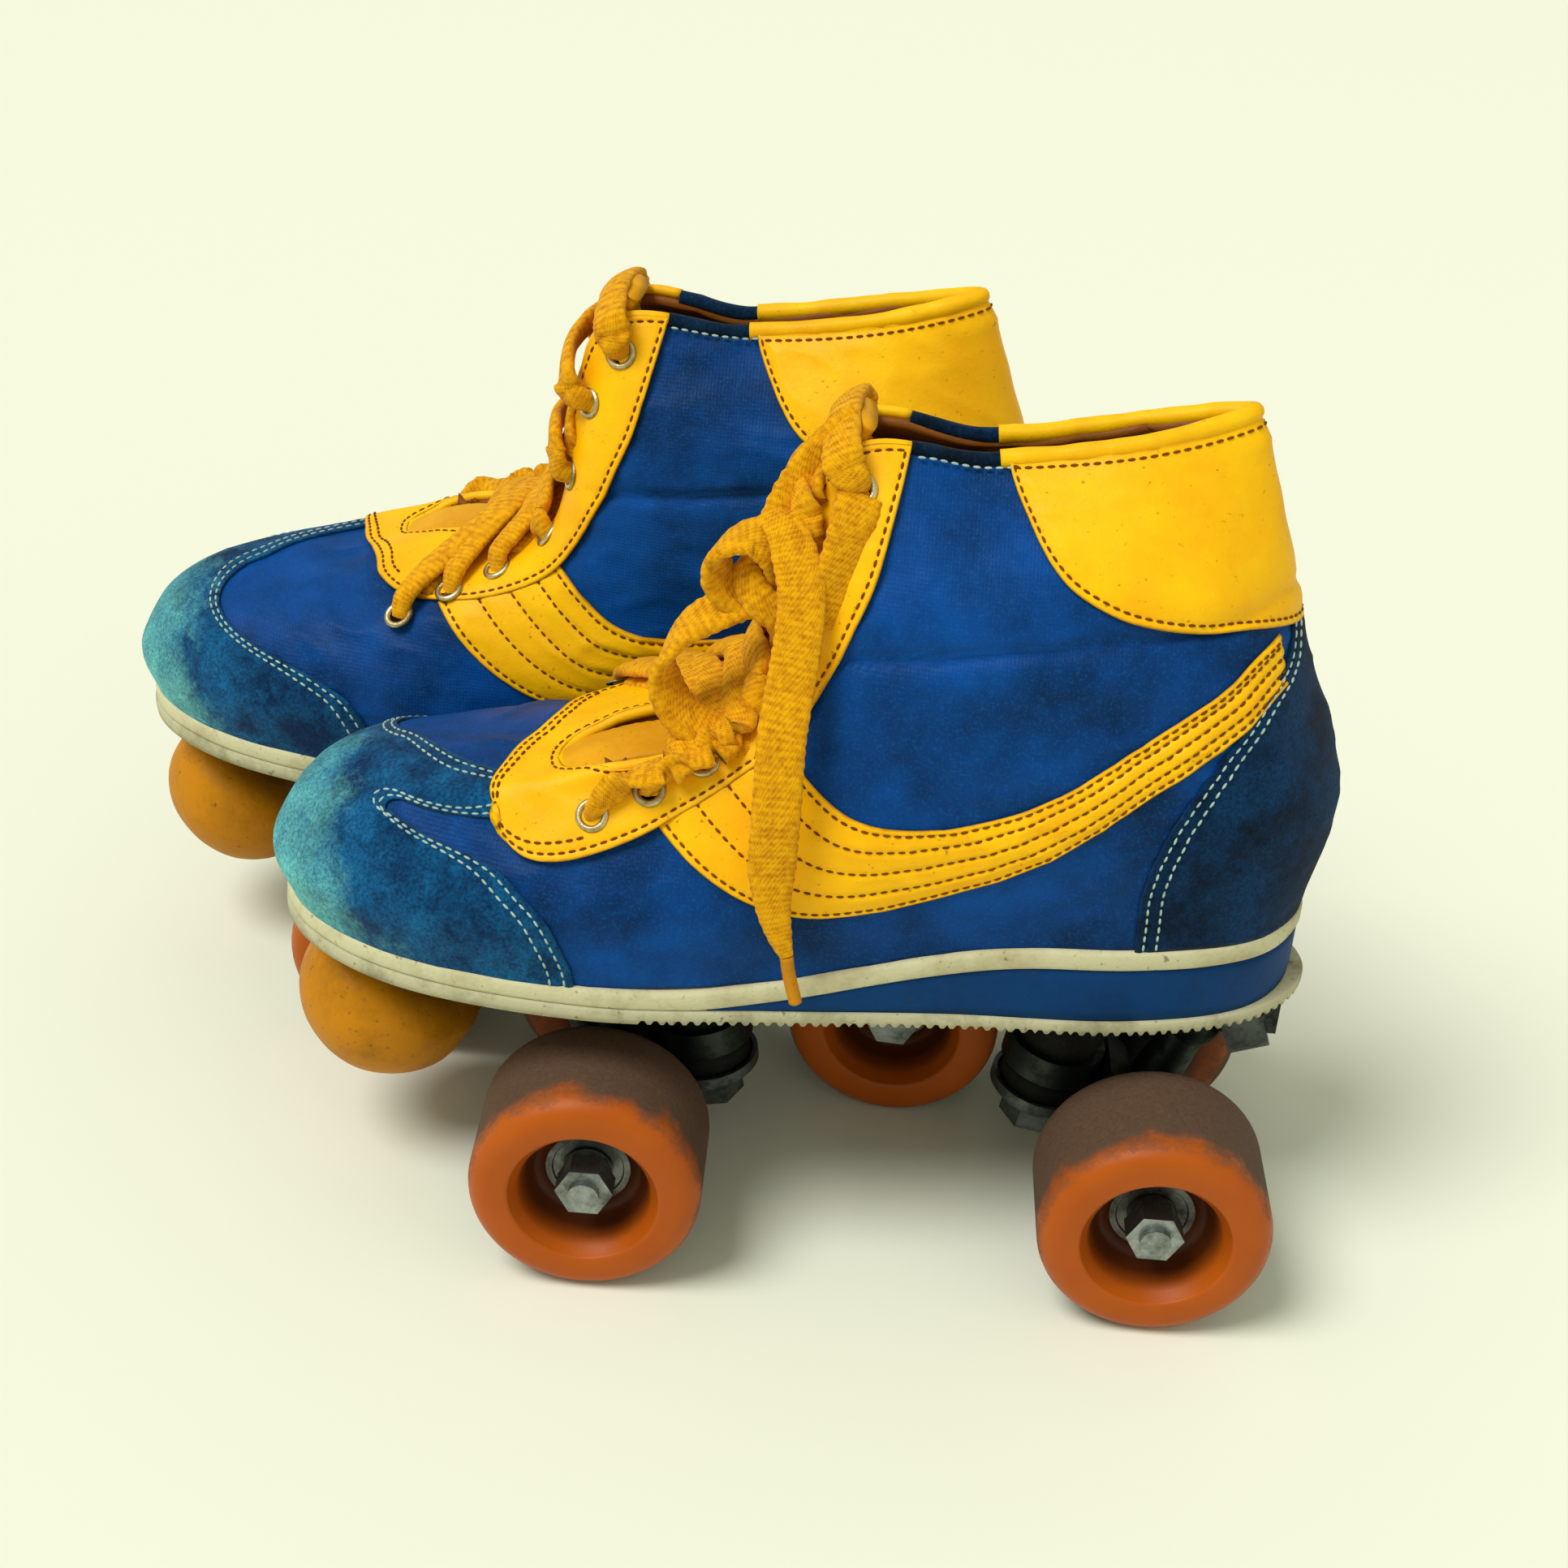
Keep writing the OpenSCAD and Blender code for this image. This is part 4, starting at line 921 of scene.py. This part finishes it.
bow = {
    "high": [(-35, -13, 186), (-36, -12, 193), (-34, -9, 201), (-30, -5, 208), (-24, -1, 215), (-18, 3, 219)],
    "loop": [(-34, -14, 185), (-36, -17, 193), (-42, -18, 197), (-49, -18, 193), (-49, -17, 185), (-42, -16, 180),
             (-35, -15, 183)],
    "low": [(-36, -14, 182), (-45, -17, 179), (-56, -19, 172), (-61, -21, 162), (-57, -23, 152), (-48, -24, 147),
            (-39, -24, 147), (-33, -22, 151)],
    "side": [(-17, -12, 207), (-18.5, -16.5, 202), (-19.5, -18.5, 197), (-21, -20.5, 190.5), (-22.5, -22.5, 184),
             (-23.3, -24, 178)],
    "wrap": [(-40, -10, 191), (-43, -15, 188), (-40, -20, 183), (-34, -21, 179), (-29, -18, 182), (-29, -12, 188),
             (-33, -8, 191), (-40, -10, 191)],
    "knotSize": (6.5, 5.5, 6.5),
}


def makeLacing():
    bm = bmesh.new()
    rungsInto(bm)
    crossings(bm)
    across = {"high": (0.85, 0.15, -0.5), "loop": (0.45, 0.8, 0.35), "low": (0.3, 0.8, 0.6),
              "side": (0.9, 0.5, 0.3), "wrap": (0.6, 0.1, 1)}
    for name, way in across.items():
        ribbonInto(bm, bow[name], laces["width"] + (1.5 if name != "wrap" else -1), laces["thickness"], way, around=16,
                   steps=10, wobble=0.04)
    size = Matrix.Diagonal((*[k * mm for k in bow["knotSize"]], 1))
    bmesh.ops.create_uvsphere(bm, u_segments=24, v_segments=16, radius=1,
                              matrix=Matrix.Translation(Vector(laces["knot"]) * mm) @ size)
    closeHoles(bm)
    settle(toObject(bm, "lacing_tied", [laceCotton]), ["lacing"], both=False)
    bm = bmesh.new()
    rungsInto(bm)
    crossings(bm)
    closeHoles(bm)
    bm.transform(toRight)
    bmesh.ops.reverse_faces(bm, faces=bm.faces)
    piece = toObject(bm, "right_lacing_done", [laceCotton])
    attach(piece, "right_skate")
    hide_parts("right_lacing")


makeTongue()
makeEyelets()
makeLacing()
print("laced up")

# ---- welt, wedge and outsole


def outline(u, push):  # the welt line's plan, pushed outwards
    p = levelPoint(0, u)
    g = levelPoint(0, u + 0.1) - levelPoint(0, u - 0.1)
    out = unit(np.stack([-g[..., 1], g[..., 0]], -1))
    return p[..., :2] - push[..., None] * out


def makeWelt():
    section = [(-3, 1, 0), (0.7, 1, 0.25), (1.35, 1, -0.2), (1.65, 1, -1.1), (1.65, 0, 1.1), (1.35, 0, 0.3),
               (0.7, 0, 0),
               (-3, 0, 0)]
    around = 320

    def place(s, t):
        u = s * keyCount
        k = np.rint(t * len(section)).astype(int) % len(section)
        push, top, rise = [np.array([row[c] for row in section])[k] for c in range(3)]
        wear = np.array([noise.noise(Vector((a * 2.3, 0, 0))) for a in u]) * 0.25
        xy = outline(u, push + wear * (push > 0))
        x = levelPoint(0, u)[:, 0]
        z = np.where(top == 1, weltTop(x), weltLow(x)) + rise
        return np.concatenate([xy, z[:, None]], 1)

    bm = bmesh.new()
    gridInto(bm, around, len(section), place, join=True)
    bmesh.ops.recalc_face_normals(bm, faces=bm.faces)
    settle(toObject(bm, "welt_strip", [weltRubber]), ["welt"])


def makeWedge():
    section = [(-3, 1), (0.9, 1), (1.15, 0.8), (1.15, 0.2), (0.9, 0), (-3, 0)]
    half = np.linspace(3, 8, 200)
    first = float(np.interp(-45, levelPoint(0, half)[:, 0], half))

    def place(s, t):
        u = first + s * (keyCount - 2 * first)
        k = np.rint(t * len(section)).astype(int) % len(section)
        push, share = [np.array([row[c] for row in section])[k] for c in range(2)]
        x = levelPoint(0, u)[:, 0]
        z = outsoleTop + (weltLow(x) - outsoleTop + 0.1) * share
        return np.concatenate([outline(u, push), z[:, None]], 1)

    bm = bmesh.new()
    gridInto(bm, 240, len(section), place, join=True)
    closeHoles(bm)
    settle(toObject(bm, "foam_wedge", [wedgeFoam]), ["heel_wedge"])


tread = {"pitch": 3.0, "depth": 1.1, "from": -62, "heelLip": 3.2}


def makeOutsole():
    # rows from the middle of the top, out over the edge and back to the middle underneath: (push, height, in)
    low, top = sole["low"], outsoleTop
    section = [(0, top, 1), (-4, top, 0), (1.6, top, 0), (2.0, top - 0.6, 0), (2.0, low + 1.4, 0), (1.7, low, 0),
               (-3, low, 0), (-4, low + 0.6, 0), (0, low + 0.6, 1)]
    around = 900
    u0 = np.linspace(0, keyCount, 1200)
    run = runLength(levelPoint(0, u0))

    def place(s, t):
        u = s * keyCount
        k = np.rint(t * (len(section) - 1)).astype(int)
        push, z, centred = [np.array([row[c] for row in section], float)[k] for c in range(3)]
        x = levelPoint(0, u)[:, 0]
        lip = tread["heelLip"] * np.exp(-((u - 8) / 0.75) ** 2)
        xy = outline(u, push + lip * (push > 0))
        tooth = (np.sin(np.interp(u, u0, run) * math.tau / tread["pitch"]) > 0) * tread["depth"]
        cut = (k >= 4) & (k <= 6) & (x > tread["from"])
        z = z + np.where(cut & (k > 4), tooth, 0) + np.where(k == 4, 0.2, 0) - lip * 0.12
        centre = np.stack([x * 0.93 - 1, np.zeros_like(x)], 1)
        xy = np.where(centred[:, None] > 0, centre, xy)
        return np.concatenate([xy, z[:, None]], 1)

    bm = bmesh.new()
    gridInto(bm, around, len(section) - 1, place, join=True)
    bmesh.ops.remove_doubles(bm, verts=bm.verts, dist=0.00005)
    bmesh.ops.recalc_face_normals(bm, faces=bm.faces)
    settle(toObject(bm, "serrated_outsole", [soleRubber]), ["outsole"])


makeWelt()
makeWedge()
makeOutsole()
print("sole built up")

# ---- wheels

wheel = {"radius": 30, "width": 38, "shoulder": 6, "hollow": 19, "bore": 11.03, "seat": 2, "bearing": 7, "spacer": 9}


def arcPoints(cx, cy, r, first, last, n):
    return [(cx + r * math.cos(math.radians(first + (last - first) * i / n)),
             cy + r * math.sin(math.radians(first + (last - first) * i / n))) for i in range(n + 1)]


def makeWheel(end, pos):
    r, w, c = wheel["radius"], wheel["width"], wheel["shoulder"]
    bore, lip = wheel["bore"], wheel["bore"] - 2
    a, b = wheel["seat"], wheel["seat"] + wheel["bearing"]
    e = b + wheel["spacer"]
    f = e + wheel["bearing"]
    section = [(bore + 3, a), (bore + 4, 0.4), (bore + 4.4, 0)]
    section += arcPoints(r - c, c, c, -90, 0, 9)
    section += [(r, w * k) for k in (0.3, 0.45, 0.6, 0.75)]
    section += arcPoints(r - c, w - c, c, 0, 90, 10)
    section += arcPoints(wheel["hollow"] + 1.2, w - 1.2, 1.2, 90, 180, 4)
    section += [(17.4, w - 3), (16.6, w - 6), (15.6, w - 9), (14.4, f + 1.2), (bore + 2.4, f + 0.3), (bore, f),
                (bore, e), (lip, e), (lip, b), (bore, b), (bore, a)]
    obj = spun(f"{end}_{pos}_urethane", section, [orangeWheel])
    p = coords(obj)
    radius = np.hypot(p[:, 0], p[:, 1])
    onTread = ease((radius - r + 2.6) / 2.0)
    paint(obj, "grime", onTread * (0.25 + 0.75 * ease((w + 1 - p[:, 2]) / 20)) + 0.5 * ease((6 - p[:, 2]) / 4))
    # painted shade mask: grows with depth into the face's hollow
    paint(obj, "hollow", ease((w - 1 - p[:, 2]) / 9) * (radius < wheel["hollow"] + 0.3))
    node = "left_" + end + "_" + pos + "_wheel"
    low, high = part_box(node)
    side = -1 if pos == "outer" else 1
    inner = low.y if side > 0 else high.y
    place = Matrix.Translation(((low.x + high.x) / 2, inner, (low.z + high.z) / 2))
    turn = Matrix.Rotation(math.radians(-90 * side), 4, "X")
    obj.data.transform(place @ turn)
    settle(obj, [end + "_" + pos + "_wheel"], end + "_" + pos + "_wheel_set")


for end in ("front", "rear"):
    for pos in ("outer", "inner"):
        makeWheel(end, pos)
print("wheels cast")

# ---- toe stop

stop = {"radius": 24.5, "low": 22, "top": 13.7, "place": (-134, 0, 46), "lean": 32, "bore": 5.03}


def makeToeStop():
    r, top = stop["radius"], stop["top"]
    section = [(0, -stop["low"])]
    section += [(r * math.cos(math.radians(a)), stop["low"] * math.sin(math.radians(a))) for a in range(-84, 0, 6)]
    section += [(r, 0), (r, 2)] + arcPoints(r - 9, top - 9, 9, 15, 90, 8)
    section += [(stop["bore"], top), (stop["bore"], -3.9), (0, -3.9)]
    obj = spun("rubber_toe_stop", section, [stopRubber], 90)
    for v in obj.data.vertices:
        rub = noise.noise(v.co * 90) * 0.35 * mm
        v.co += v.co.normalized() * rub * (1 if v.co.z < 0.01 and v.co.xy.length > 0.006 else 0)
    lean = Matrix.Rotation(math.radians(stop["lean"]), 4, "Y")
    obj.data.transform(Matrix.Translation(Vector(stop["place"]) * mm) @ lean)
    settle(obj, ["toe_stop"])


makeToeStop()
print("toe stops made")

# ---- finishes of the metal and rubber pieces that keep their own shape

finishes = {"insole": insoleBoard, "plate": castAlloy, "plate_bolts": zincPlate, "kingpins": castAlloy,
            "pivot_cups": nylonCup, "front_cushions": blackRubber, "rear_cushions": blackRubber,
            "toe_stop_stem": zincPlate, "front_hanger": dullSteel, "rear_hanger": dullSteel,
            "front_axle": zincPlate, "rear_axle": zincPlate}
for name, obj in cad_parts.items():
    part = name.split("_", 1)[1]
    mat = oiledSteel if part.endswith("bearings") else finishes.get(part)
    if mat:
        for slotOfNode in obj.material_slots:
            slotOfNode.material = mat
print("metal finished")

# ---- floor and light

studio = {"floor": "eaecd9", "sky": "f3f6e3", "skyStrength": 0.55, "sunStrength": 2.35, "sunSpread": 28, "fill": 2}


def makeStudio():
    bm = bmesh.new()
    bmesh.ops.create_grid(bm, x_segments=1, y_segments=1, size=6)
    paper = newFinish("matPaper", Roughness=0.85)[0]
    paper.node_tree.nodes["Principled BSDF"].inputs["Base Color"].default_value = linear(studio["floor"])
    floor = toObject(bm, "floor", [paper])
    world = bpy.data.worlds.new("studio")
    world.use_nodes = True
    sky = world.node_tree.nodes["Background"]
    sky.inputs[0].default_value = linear(studio["sky"])
    sky.inputs[1].default_value = studio["skyStrength"]
    bpy.context.scene.world = world
    for name, kind, place, power in (("sun", "SUN", (-0.75, -0.45, 1.5), studio["sunStrength"]),
                                     ("fill", "AREA", (0.9, -1.2, 0.9), studio["fill"])):
        data = bpy.data.lights.new(name, kind)
        data.energy = power
        if kind == "SUN":
            data.angle = math.radians(studio["sunSpread"])
        else:
            data.size = 1.4
        lamp = bpy.data.objects.new(name, data)
        bpy.context.scene.collection.objects.link(lamp)
        aim = Vector((-0.03, 0.04, 0.1)) - Vector(place)
        lamp.matrix_world = Matrix.Translation(place) @ aim.to_track_quat("-Z", "Y").to_matrix().to_4x4()


makeStudio()
bpy.context.scene.view_settings.view_transform = "Standard"
print("studio lit")
